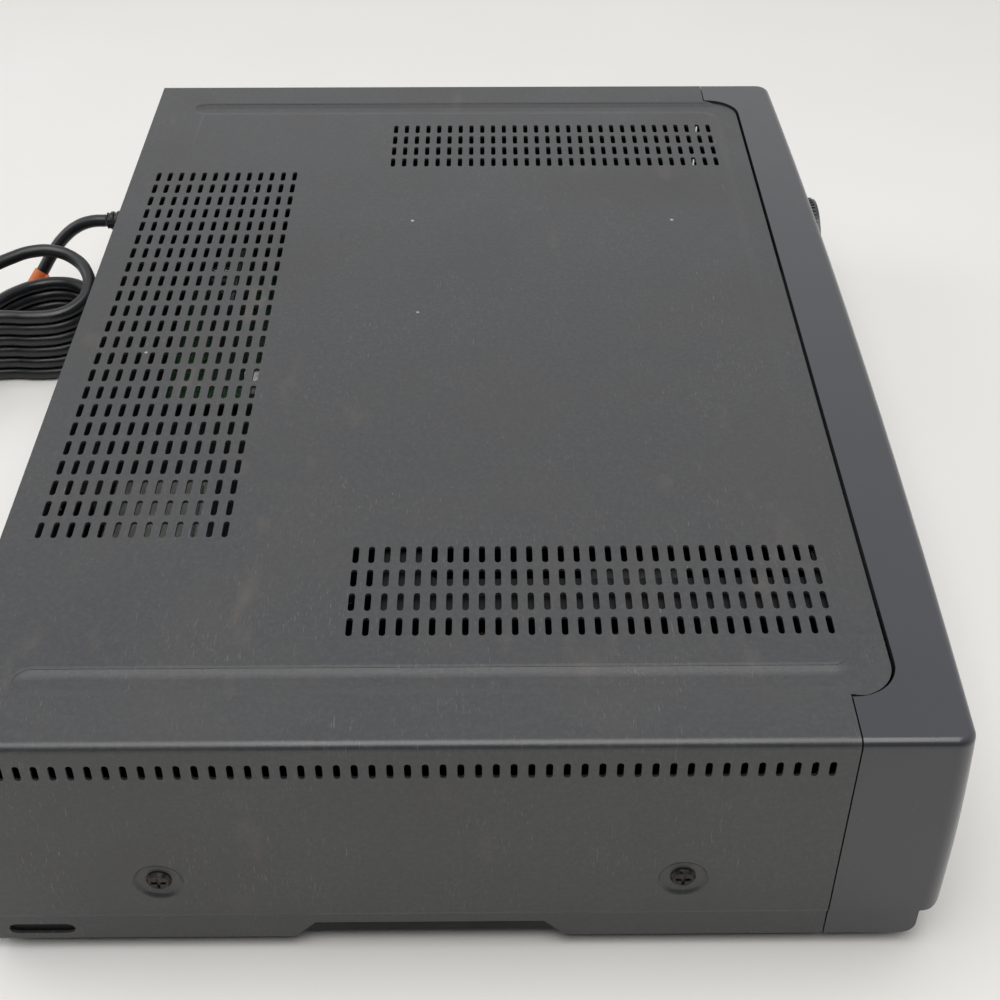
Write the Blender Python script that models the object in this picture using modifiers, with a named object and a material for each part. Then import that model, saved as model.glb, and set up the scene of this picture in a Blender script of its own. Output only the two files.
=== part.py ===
"""Front-loading video cassette recorder, modelled at real size in metres.

X runs to the right as seen from the front, Y to the rear and Z up. The origin lies under the middle
of the recorder on the surface that it stands on.
"""
import math

import bmesh
import bpy
from mathutils import Matrix, Vector, geometry

# Case
WIDTH = 0.430
COVER_HEIGHT = 0.088
FOOT_HEIGHT = 0.006
COVER_DEPTH = 0.2607
TONGUE_DEPTH = 0.2744
BODY_DEPTH = 0.295
DIAL_PROUD = 0.013
JACK_PROUD = 0.008
SHEET = 0.001
SEAT_GAP = 0.0003
RUN_GAP = 0.0005
OVERRUN = 0.002

# Cover details
BEND_RADIUS = 0.0025
STRIP_HEIGHT = 0.0118
STRIP_INSET = 0.0008
GROOVE_WIDTH = 0.011
GROOVE_DEPTH = 0.0009
GROOVE_OFFSET = 0.190
GROOVE_REAR_MARGIN = 0.018
TONGUE_RADIUS = 0.0125
TONGUE_EDGE = 0.0005
SLOT_LENGTH = 0.008
SLOT_WIDTH = 0.002
SLOT_PITCH = 0.005
SLOT_ROW_PITCH = 0.011
REAR_SLOT_COLUMNS = 13
REAR_SLOT_ROWS = 23
REAR_SLOT_MARGIN = 0.0118
WING_SLOT_COLUMNS = 30
WING_SLOT_ROWS = 4
WING_SLOT_MARGIN = 0.1147
WING_SLOT_OFFSET = 0.134
DIMPLE_RADIUS = 0.008
DIMPLE_HEIGHT = 0.0285
DIMPLE_MARGINS = (0.057, 0.215)
SCREW_HOLE_RADIUS = 0.0024
NOTCH_FROM_REAR = 0.096
NOTCH_LENGTH = 0.084
NOTCH_HEIGHT = 0.007
NOTCH_SLOPE = 0.0066
VENT_FROM_REAR = 0.0074
VENT_LENGTH = 0.0206
VENT_HEIGHT = 0.0045
VENT_LEVEL = 0.0047
LIP_HEIGHT = 0.004
LIP_MARGIN = 0.010

# Bezel
BEZEL_WALL = 0.0025
BEZEL_BOW = 0.004
BEZEL_BULGE = 0.0026
BEZEL_CORNER = 0.008
BEZEL_ROUND = 0.003
BULGE_DROP = 0.035
PLINTH_HEIGHT = 0.012
PLINTH_SETBACK = 0.007
PLINTH_ROUND = 0.0045
BORDER_GAP = 0.001
BEZEL_FLOOR_DEPTH = 0.012
BEZEL_STATIONS = 8
CORNER_STEPS = 3
ROUND_STEPS = 3
CORNER_SWEEP_SHARE = 0.999

# Cassette door and display window
DECK_FROM_SIDE = 0.157
DOOR_WIDTH = 0.196
DOOR_HEIGHT = 0.036
DOOR_BOTTOM = 0.048
DOOR_THICKNESS = 0.002
DOOR_GAP = 0.0006
DOOR_EAR_HEIGHT = 0.005
DOOR_EAR_RISE = 0.0015
DOOR_EAR_WIDTH = 0.003
HINGE_PIN_RADIUS = 0.0012
WINDOW_WIDTH = 0.120
WINDOW_HEIGHT = 0.020
WINDOW_BOTTOM = 0.022
WINDOW_THICKNESS = 0.0018
PANE_GAP = 0.0004

# Push buttons
POWER_FROM_SIDE = 0.027
POWER_LEVEL = 0.066
POWER_WIDTH = 0.022
POWER_HEIGHT = 0.009
EJECT_FROM_DOOR = 0.030
EJECT_LEVEL = 0.070
EJECT_WIDTH = 0.020
EJECT_HEIGHT = 0.007
KEY_FROM_DOOR = 0.015
KEY_PITCH = 0.019
KEY_LEVEL = 0.033
KEY_ROW_PITCH = 0.013
KEY_WIDTH = 0.014
MIDDLE_KEY_WIDTH = 0.018
KEY_HEIGHT = 0.008
BUTTON_GAP = 0.0004
BUTTON_PROUD = 0.0012
BUTTON_TRAVEL = 0.001
BUTTON_FLANGE = 0.001
BUTTON_EDGE = 0.0006
BUTTON_STEM_RADIUS = 0.0015
SWITCH_SIZE = 0.006
SWITCH_THICKNESS = 0.004

# Dial
DIAL_FROM_DOOR = 0.0905
DIAL_LEVEL = 0.046
RING_RADIUS = 0.0225
RING_BORE = 0.0155
RING_LENGTH = 0.009
JOG_RADIUS = 0.015
JOG_EDGE = 0.0012
DIAL_FLOOR = 0.0015
DIMPLE_DISH_RADIUS = 0.005
DIMPLE_DISH_OFFSET = 0.0085
DIMPLE_DISH_DEPTH = 0.0012
TRIM_RADIUS = 0.0245
TRIM_THICKNESS = 0.0015
BOSS_RADIUS = 0.026
COLLAR_RADIUS = 0.006
COLLAR_WALL = 0.0015
SHAFT_RADIUS = 0.003

# Chassis
FLANGE_HEIGHT = 0.036
BOSS_POST_RADIUS = 0.003
CHASSIS_LIFT = 0.001
CHASSIS_FRONT_INSET = 0.0143
VENT_SLIT_LENGTH = 0.030
VENT_SLIT_WIDTH = 0.003
VENT_SLIT_PITCH = 0.009
VENT_SLIT_COUNT = 6
FOOT_RADIUS = 0.011
FOOT_DRAFT = 0.0012
FOOT_INSET = 0.015
FOOT_REAR_MARGIN = 0.031
FOOT_FRONT_MARGIN = 0.238

# Cover screws
SCREW_HEAD_RADIUS = 0.004
SCREW_HEAD_HEIGHT = 0.0012
SCREW_SHANK_RADIUS = 0.0018
SCREW_LENGTH = 0.006
CROSS_LENGTH = 0.0045
CROSS_WIDTH = 0.001
CROSS_DEPTH = 0.0007

# Rear panel
PANEL_THICKNESS = 0.0012
PANEL_RECESS = 0.0014
PANEL_TOP_GAP = 0.0006
JACK_RADIUS = 0.0042
JACK_PIN_RADIUS = 0.0016
JACK_FLANGE_RADIUS = 0.0055
JACK_PITCH_X = 0.016
JACK_PITCH_Z = 0.015
JACK_COLUMNS = 2
JACK_ROWS = 3
JACK_BLOCK_DEPTH = 0.012
JACK_BLOCK_OFFSET = -0.060
JACK_BLOCK_LEVEL = 0.045
AERIAL_RADIUS = 0.0048
AERIAL_PITCH = 0.024
AERIAL_OFFSET = -0.150
AERIAL_LEVEL = 0.050
AERIAL_BLOCK_DEPTH = 0.030
AERIAL_BLOCK_WIDTH = 0.030
AERIAL_BLOCK_HEIGHT = 0.050
PORT_GAP = 0.0004

# Deck plate and cassette lift
DECK_LEVEL = 0.030
DECK_THICKNESS = 0.0012
DECK_HALF_WIDTH = 0.108
DECK_FRONT_GAP = 0.018
DECK_REAR_GAP = 0.0016
LEG_RADIUS = 0.003
LEG_INSET = 0.005
TRAY_LEVEL = 0.0535
TRAY_WALL = 0.0012
HOLDER_HALF_WIDTH = 0.0966
HOLDER_LEDGE = 0.018
HOLDER_LENGTH = 0.100
HOLDER_FRONT_GAP = 0.0205
HOLDER_FLANGE_SETBACK = 0.0235
HOLDER_HEIGHT = 0.0275
HOLDER_LIP = 0.010
HOLDER_BAR = 0.010
FRAME_LEG_THICKNESS = 0.0015
FRAME_LEG_LENGTH = 0.030
FRAME_LEG_SETBACK = 0.056
FRAME_LEG_FOOT = 0.004
FRAME_BAR_GAP = 0.0018
LIFT_PIN_RADIUS = 0.0015
LIFT_PIN_GAP = 0.0003
LIFT_IN = 0.040
LIFT_DOWN = 0.017
SIDE_PLATE = 0.0012
SIDE_PLATE_LENGTH = 0.154
SIDE_PLATE_TOP = 0.0898
BRACE_WIDTH = 0.016

# Head drum
DRUM_FROM_FRONT = 0.201
DRUM_RADIUS = 0.031
DRUM_TILT = math.radians(5.96)
DRUM_FLANGE_RADIUS = 0.0355
DRUM_FLANGE_HEIGHT = 0.0035
LOWER_DRUM_TOP = 0.022
UPPER_DRUM_HEIGHT = 0.016
DRUM_SPLIT = 0.0006
DRUM_HUB_RADIUS = 0.011
DRUM_HUB_HEIGHT = 0.003
DRUM_DISH = 0.002
DRUM_RIM = 0.004
DRUM_SEGMENTS = 32

# Capstan and pinch roller
CAPSTAN_X = 0.040
CAPSTAN_Y = -0.038
CAPSTAN_RADIUS = 0.00175
CAPSTAN_TOP = 0.062
FLYWHEEL_RADIUS = 0.024
FLYWHEEL_THICKNESS = 0.008
FLYWHEEL_DROP = 0.0065
BEARING_RADIUS = 0.005
BEARING_FLANGE_RADIUS = 0.010
BEARING_FLANGE_THICKNESS = 0.0035
BEARING_TOP = 0.034
BORE_GAP = 0.0003
PINCH_PIVOT_X = 0.070
PINCH_PIVOT_Y = -0.030
PINCH_ARM_LENGTH = 0.0254
PINCH_REST_ANGLE = math.radians(239.7)
PINCH_ARM_WIDTH = 0.007
PINCH_ARM_THICKNESS = 0.002
PINCH_ARM_LEVEL = 0.0345
PINCH_HUB_RADIUS = 0.0045
PINCH_PIN_RADIUS = 0.0015
PINCH_ROLLER_RADIUS = 0.007
PINCH_ROLLER_HEIGHT = 0.018

# Reels and idler
REEL_SPACING = 0.092
REEL_FROM_DRUM = -0.101
REEL_RADIUS = 0.026
REEL_TEETH = 36
TOOTH_DEPTH = 0.0012
REEL_DISC_HEIGHT = 0.004
REEL_HUB_RADIUS = 0.011
REEL_HUB_TOP = 0.039
SPINDLE_RADIUS = 0.0045
SPINDLE_TOP = 0.046
SPINDLE_FIN_WIDTH = 0.0016
SPINDLE_FIN_REACH = 0.0085
IDLER_RADIUS = 0.0146
IDLER_TEETH = 20
IDLER_PIVOT_Y = 0.024
IDLER_WHEEL_Y = -0.002
IDLER_ARM_WIDTH = 0.008
ARM_THICKNESS = 0.0015

# Tape guides
POST_PATH_RADIUS = 0.042
POST_PATH_WIDTH = 0.0046
POST_START = math.radians(58)
POST_SWING = math.radians(88)
POST_BASE_LENGTH = 0.014
POST_BASE_WIDTH = 0.008
POST_BASE_HEIGHT = 0.005
POST_ROLLER_RADIUS = 0.003
POST_CAP_RADIUS = 0.0045
POST_CAP_HEIGHT = 0.0015
POST_TOP = 0.060
POST_TONGUE_RADIUS = 0.0019
TRACK_END_SHARE = 1.6
HEAD_WIDTH = 0.012
HEAD_LENGTH = 0.008
HEAD_HEIGHT = 0.020
HEAD_BASE_HEIGHT = 0.006
HEAD_BASE_MARGIN = 0.002
ERASE_X = -0.050
ERASE_Y = -0.036
CONTROL_X = 0.054
CONTROL_Y = -0.020
TENSION_PIVOT_X = -0.070
TENSION_PIVOT_Y = -0.044
TENSION_ARM_LENGTH = 0.0297
TENSION_REST_ANGLE = math.radians(-32.6)
TENSION_ARM_WIDTH = 0.006
TENSION_PIN_RADIUS = 0.002
TENSION_PIN_TOP = 0.056

# Loading drive
MOTOR_RADIUS = 0.012
MOTOR_LENGTH = 0.028
MOTOR_X = 0.088
MOTOR_Y = 0.009
MOTOR_SHAFT_RADIUS = 0.0012
WORM_RADIUS = 0.004
WORM_THREAD = 0.0008
WORM_TURNS = 6
THREAD_CREST_SHARE = 0.5
WORM_LENGTH = 0.027
WORM_WHEEL_RADIUS = 0.012
WORM_WHEEL_TEETH = 22
WORM_WHEEL_THICKNESS = 0.004
CAM_RADIUS = 0.018
CAM_THICKNESS = 0.005
CAM_DROP = 0.003
CAM_SHAFT_RADIUS = 0.0025

# Electrics
BOARD_THICKNESS = 0.0016
BOARD_LEVEL = 0.0145
BOARD_EDGE_GAP = 0.006
BOARD_REAR_GAP = 0.010
BOARD_FRONT_GAP = 0.045
BOARD_DECK_GAP = 0.0097
CHIP_HEIGHT = 0.003
CHIP_LENGTH = 0.024
CHIP_WIDTH = 0.009
CHIP_PITCH = 0.034
TRANSFORMER_SIZE = (0.044, 0.036, 0.038)
TRANSFORMER_INSET = (0.024, 0.060)
BOBBIN_INSET = 0.006
BOBBIN_SWELL = 0.006
HEAT_SINK_SIZE = (0.050, 0.012, 0.040)
HEAT_SINK_INSET = (0.080, 0.020)
HEAT_SINK_FINS = 6
HEAT_SINK_PLATE = 0.0025
CAN_SIZE = (0.077, 0.036, 0.040)
CAN_OFFSET = -0.1235
CAN_REAR_GAP = 0.0135
CAN_LEVEL = 0.015
CAN_STEP = 0.003
FRONT_BOARD_SETBACK = 0.016
FRONT_BOARD_TOP = 0.040
FRONT_BOARD_WING_TOP = 0.078
FRONT_BOARD_LEFT_WING = 0.046
FRONT_BOARD_EDGE = 0.010
DISPLAY_DEPTH = 0.0065

# Mains lead
LEAD_RADIUS = 0.003
EXIT_OFFSET = 0.165
EXIT_LEVEL = 0.042
RELIEF_LENGTH = 0.028
RELIEF_RADIUS = 0.0065
RELIEF_TIP_RADIUS = 0.0042
RELIEF_NECK_RADIUS = 0.0052
HANK_TIE = (0.1048, 0.2303)
HANK_TURN = math.radians(28)
HANK_FOLD_RADIUS = 0.020
HANK_LENGTH = 0.118
HANK_LAYERS = 6
HANK_PITCH = 0.00605
PLUG_SIZE = (0.026, 0.034, 0.018)
PLUG_SIDE = 0.012
PLUG_BLADE = (0.0015, 0.017, 0.0062)
PLUG_BLADE_SPACING = 0.0127
PLUG_EDGE = 0.003
ROUTE_SPACING = 0.0135
ROUTE_STEPS = 12
LEAD_POINTS = [
    (0.1650, 0.1764, 0.0480), (0.1650, 0.1840, 0.0475), (0.1645, 0.1910, 0.0450), (0.1625, 0.1979, 0.0401),
    (0.1589, 0.2038, 0.0335), (0.1545, 0.2090, 0.0261), (0.1493, 0.2145, 0.0188), (0.1432, 0.2212, 0.0125),
    (0.1371, 0.2289, 0.0077), (0.1313, 0.2375, 0.0044), (0.1257, 0.2471, 0.0033),
]

# Derived places
TOTAL_DEPTH = BODY_DEPTH + DIAL_PROUD + JACK_PROUD
REAR_Y = TOTAL_DEPTH / 2 - JACK_PROUD
SEAM_Y = REAR_Y - COVER_DEPTH
TONGUE_Y = REAR_Y - TONGUE_DEPTH
FRONT_Y = REAR_Y - BODY_DEPTH
SIDE_X = WIDTH / 2
BASE_Z = FOOT_HEIGHT
TOP_Z = BASE_Z + COVER_HEIGHT
FLOOR_Z = BASE_Z + CHASSIS_LIFT + SHEET
FLANGE_X = SIDE_X - 2 * SHEET - SEAT_GAP
PANEL_Y = REAR_Y - SHEET - PANEL_RECESS
CHASSIS_REAR_Y = PANEL_Y - PANEL_THICKNESS - SEAT_GAP
CHASSIS_FRONT_Y = FRONT_Y + CHASSIS_FRONT_INSET
DECK_Z = DECK_LEVEL
DECK_X = DECK_FROM_SIDE - SIDE_X
DRUM_Y = FRONT_Y + DRUM_FROM_FRONT
REEL_Y = DRUM_Y + REEL_FROM_DRUM
TRAY_Y = FRONT_Y + HOLDER_FRONT_GAP
BOARD_Y = FRONT_Y + FRONT_BOARD_SETBACK
DOOR_SIDE_X = DECK_X + DOOR_WIDTH / 2
DOOR_Z = BASE_Z + DOOR_BOTTOM
WINDOW_Z = BASE_Z + WINDOW_BOTTOM
DIAL_X = DOOR_SIDE_X + DIAL_FROM_DOOR
DIAL_Z = BASE_Z + DIAL_LEVEL
HANK_TOP = (HANK_LAYERS - 1) * HANK_PITCH + 2 * LEAD_RADIUS + SEAT_GAP


def clear_scene():
    for item in list(bpy.data.objects):
        bpy.data.objects.remove(item, do_unlink=True)


clear_scene()
PARTS = bpy.data.collections.new("video_cassette_recorder")
CUTTERS = bpy.data.collections.new("cutters")
bpy.context.scene.collection.children.link(PARTS)
bpy.context.scene.collection.children.link(CUTTERS)


def material(name, color, roughness, metallic=0.0):
    made = bpy.data.materials.new(name)
    made.use_nodes = True
    shader = made.node_tree.nodes["Principled BSDF"]
    shader.inputs["Base Color"].default_value = (*color, 1.0)
    shader.inputs["Roughness"].default_value = roughness
    shader.inputs["Metallic"].default_value = metallic
    made.diffuse_color = (*color, 1.0)
    return made


PAINT = material("grey_paint", (0.12, 0.12, 0.125), 0.55)
BEZEL_PLASTIC = material("gloss_plastic", (0.025, 0.027, 0.03), 0.25)
DARK_PLASTIC = material("dark_plastic", (0.03, 0.03, 0.03), 0.5)
STEEL = material("bright_steel", (0.62, 0.62, 0.6), 0.35, 1.0)
ALUMINIUM = material("aluminium", (0.8, 0.8, 0.8), 0.3, 1.0)
RUBBER = material("rubber", (0.02, 0.02, 0.02), 0.8)
BOARD = material("board", (0.30, 0.20, 0.08), 0.6)
NYLON = material("nylon", (0.75, 0.72, 0.65), 0.5)
BRASS = material("brass", (0.7, 0.5, 0.2), 0.3, 1.0)
SMOKED = material("smoked_window", (0.01, 0.01, 0.012), 0.1)
LEAD = material("lead_jacket", (0.02, 0.02, 0.02), 0.5)
SILVER_TRIM = material("silver_trim", (0.7, 0.7, 0.7), 0.3, 1.0)


def add_object(name, mesh, finish, origin=(0, 0, 0)):
    """Put a mesh given in world places into the model, with the object's origin at a named place."""
    origin = Vector(origin)
    mesh.transform(Matrix.Translation(-origin))
    made = bpy.data.objects.new(name, mesh)
    made.location = origin
    if finish is None:
        CUTTERS.objects.link(made)
        made.hide_render = True
        made.display_type = "WIRE"
    else:
        PARTS.objects.link(made)
        mesh.materials.clear()
        mesh.materials.append(finish)
    return made


def from_bmesh(name, work, finish, origin=(0, 0, 0)):
    mesh = bpy.data.meshes.new(name)
    work.to_mesh(mesh)
    work.free()
    return add_object(name, mesh, finish, origin)


def box_between(work, low, high):
    low = Vector(low)
    high = Vector(high)
    size = high - low
    place = Matrix.Translation((low + high) / 2) @ Matrix.Diagonal((*size, 1.0))
    return bmesh.ops.create_cube(work, size=1.0, matrix=place)


def box(name, low, high, finish=None, origin=(0, 0, 0)):
    work = bmesh.new()
    box_between(work, low, high)
    return from_bmesh(name, work, finish, origin)


AXIS_TURN = {
    "X": Matrix(((0, 0, 1, 0), (1, 0, 0, 0), (0, 1, 0, 0), (0, 0, 0, 1))),
    "Y": Matrix(((1, 0, 0, 0), (0, 0, -1, 0), (0, 1, 0, 0), (0, 0, 0, 1))),
    "Z": Matrix.Identity(4),
}


def cylinder(name, radius, start, end, axis, finish=None, segments=24, origin=(0, 0, 0), tip_radius=None):
    """A cylinder or cone from the start point along an axis to the end coordinate on that axis."""
    index = "XYZ".index(axis)
    low = Vector(start)
    high = Vector(start)
    high[index] = end
    length = abs(end - start[index])
    tip = radius if tip_radius is None else tip_radius
    turn = Matrix.Identity(4)
    if axis == "X":
        turn = Matrix.Rotation(math.pi / 2, 4, "Y")
    if axis == "Y":
        turn = Matrix.Rotation(-math.pi / 2, 4, "X")
    if end < start[index]:
        radius, tip = tip, radius
    work = bmesh.new()
    bmesh.ops.create_cone(
        work, cap_ends=True, segments=segments, radius1=radius, radius2=tip, depth=length,
        matrix=Matrix.Translation((low + high) / 2) @ turn)
    return from_bmesh(name, work, finish, origin)


def turned(name, profile, finish=None, segments=24, origin=(0, 0, 0)):
    """A turned piece about Z: radius and height pairs run down its outer side, at a world origin."""
    work = bmesh.new()
    points = [work.verts.new((radius, 0, height)) for radius, height in profile]
    for first, second in zip(points, points[1:]):
        work.edges.new((first, second))
    if profile[0][0] > 0:
        work.edges.new((points[-1], points[0]))
    mesh = bpy.data.meshes.new(name)
    work.to_mesh(mesh)
    work.free()
    made = add_object(name, mesh, finish)
    made.location = Vector(origin)
    screw = made.modifiers.new("Screw", "SCREW")
    screw.steps = segments
    screw.render_steps = segments
    screw.use_merge_vertices = True
    screw.merge_threshold = 0.00001
    return made


def plate(name, outline, axis, start, end, finish=None, holes=(), origin=(0, 0, 0)):
    """A flat outline with holes, extruded along an axis between two coordinates on that axis."""
    curve = bpy.data.curves.new(name, "CURVE")
    curve.dimensions = "2D"
    curve.fill_mode = "BOTH"
    curve.extrude = abs(end - start) / 2
    for ring in (outline, *holes):
        spline = curve.splines.new("POLY")
        spline.points.add(len(ring) - 1)
        spline.use_cyclic_u = True
        for point, (u, v) in zip(spline.points, ring):
            point.co = (u, v, 0, 1)
    source = bpy.data.objects.new(name + "_outline", curve)
    bpy.context.scene.collection.objects.link(source)
    graph = bpy.context.evaluated_depsgraph_get()
    mesh = bpy.data.meshes.new_from_object(source.evaluated_get(graph))
    work = bmesh.new()
    work.from_mesh(mesh)
    bmesh.ops.remove_doubles(work, verts=work.verts, dist=0.000001)
    bmesh.ops.recalc_face_normals(work, faces=work.faces)
    work.to_mesh(mesh)
    work.free()
    bpy.data.objects.remove(source)
    bpy.data.curves.remove(curve)
    shift = [0, 0, 0]
    shift["XYZ".index(axis)] = (start + end) / 2
    mesh.transform(Matrix.Translation(shift) @ AXIS_TURN[axis])
    return add_object(name, mesh, finish, origin)


def join_mesh(objects, name, finish=None, origin=(0, 0, 0)):
    """Gather cutters that don't touch each other into one object."""
    work = bmesh.new()
    for item in objects:
        mesh = item.data
        mesh.transform(item.matrix_world)
        work.from_mesh(mesh)
        bpy.data.objects.remove(item)
        bpy.data.meshes.remove(mesh)
    return from_bmesh(name, work, finish, origin)


def boolean(target, tool, operation):
    change = target.modifiers.new(tool.name, "BOOLEAN")
    change.operation = operation
    change.solver = "EXACT"
    change.object = tool
    if tool.name in PARTS.objects:
        PARTS.objects.unlink(tool)
        CUTTERS.objects.link(tool)
    tool.hide_render = True
    tool.display_type = "WIRE"


def cut(target, *tools):
    for tool in tools:
        boolean(target, tool, "DIFFERENCE")


def fuse(target, *tools):
    for tool in tools:
        boolean(target, tool, "UNION")


def round_edges(target, width, segments=1):
    bevel = target.modifiers.new("Bevel", "BEVEL")
    bevel.width = width
    bevel.segments = segments
    bevel.limit_method = "ANGLE"
    bevel.angle_limit = math.radians(40)


def arc(center, radius, start, end, steps):
    """Points on an arc, with both ends, as pairs."""
    points = []
    for step in range(steps + 1):
        angle = start + (end - start) * step / steps
        points.append((center[0] + radius * math.cos(angle), center[1] + radius * math.sin(angle)))
    return points


def circle(center, radius, steps=20):
    return arc(center, radius, 0, 2 * math.pi * (steps - 1) / steps, steps - 1)


def rectangle(low, high):
    return [(low[0], low[1]), (high[0], low[1]), (high[0], high[1]), (low[0], high[1])]


def rounded_rectangle(low, high, radius, steps=3):
    quarter = math.pi / 2
    points = []
    points += arc((high[0] - radius, high[1] - radius), radius, 0, quarter, steps)
    points += arc((low[0] + radius, high[1] - radius), radius, quarter, 2 * quarter, steps)
    points += arc((low[0] + radius, low[1] + radius), radius, 2 * quarter, 3 * quarter, steps)
    points += arc((high[0] - radius, low[1] + radius), radius, 3 * quarter, 4 * quarter, steps)
    return points


def stadium(first, second, radius, steps=6):
    """A round-ended bar outline about the line from the first to the second point."""
    heading = math.atan2(second[1] - first[1], second[0] - first[0])
    quarter = math.pi / 2
    points = arc(second, radius, heading - quarter, heading + quarter, steps)
    points += arc(first, radius, heading + quarter, heading + 3 * quarter, steps)
    return points


def gear_outline(center, radius, teeth, depth):
    points = []
    for tooth in range(teeth):
        for share, reach in ((0.0, radius), (0.5, radius - depth)):
            angle = 2 * math.pi * (tooth + share) / teeth
            points.append((center[0] + reach * math.cos(angle), center[1] + reach * math.sin(angle)))
    return points


def polar(center, radius, angle):
    return (center[0] + radius * math.cos(angle), center[1] + radius * math.sin(angle))


def slot_grid(name, first_x, first_y, rows, columns):
    """Punches for a field of slots, stepping in +X by rows and in -Y by columns."""
    work = bmesh.new()
    half_length = SLOT_LENGTH / 2
    half_width = SLOT_WIDTH / 2
    for row in range(rows):
        for column in range(columns):
            x = first_x + row * SLOT_ROW_PITCH
            y = first_y - column * SLOT_PITCH
            low = (x - half_length, y - half_width, TOP_Z - SHEET - OVERRUN)
            high = (x + half_length, y + half_width, TOP_Z + OVERRUN)
            box_between(work, low, high)
    return from_bmesh(name, work, None)


def tongue_outline(half_width, front_y, radius, rear_y):
    """The front of the cover's top, seen from above, with round front corners."""
    quarter = math.pi / 2
    left = (-half_width + radius, front_y + radius)
    right = (half_width - radius, front_y + radius)
    points = [(half_width, rear_y), (-half_width, rear_y)]
    points += arc(left, radius, 2 * quarter, 3 * quarter, 4)
    points += arc(right, radius, 3 * quarter, 4 * quarter, 4)
    return points


def groove_outline(side_growth, front_growth, step_y):
    """The pressed groove from above: two side runs with round rear ends, and a front run on the tongue."""
    outer_x = GROOVE_OFFSET + GROOVE_WIDTH / 2
    inner_x = GROOVE_OFFSET - GROOVE_WIDTH / 2 - side_growth
    inner_y = TONGUE_Y + GROOVE_WIDTH + side_growth
    inner_radius = TONGUE_RADIUS - GROOVE_WIDTH
    front_x = outer_x + front_growth
    front_y = TONGUE_Y - front_growth
    front_radius = TONGUE_RADIUS + front_growth
    end_y = REAR_Y - GROOVE_REAR_MARGIN - GROOVE_WIDTH / 2
    end_radius = GROOVE_WIDTH / 2 + side_growth
    quarter = math.pi / 2
    points = arc((GROOVE_OFFSET, end_y), end_radius, 0, 2 * quarter, 4)
    points += arc((inner_x - inner_radius, inner_y + inner_radius), inner_radius, 0, -quarter, 2)
    points += arc((-inner_x + inner_radius, inner_y + inner_radius), inner_radius, -quarter, -2 * quarter, 2)
    points += arc((-GROOVE_OFFSET, end_y), end_radius, 0, 2 * quarter, 4)
    points += [(-outer_x - side_growth, step_y), (-front_x, step_y)]
    points += arc((-front_x + front_radius, front_y + front_radius), front_radius, 2 * quarter, 3 * quarter,
                  4)
    points += arc((front_x - front_radius, front_y + front_radius), front_radius, -quarter, 0, 4)
    points += [(front_x, step_y), (outer_x + side_growth, step_y)]
    return points


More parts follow.
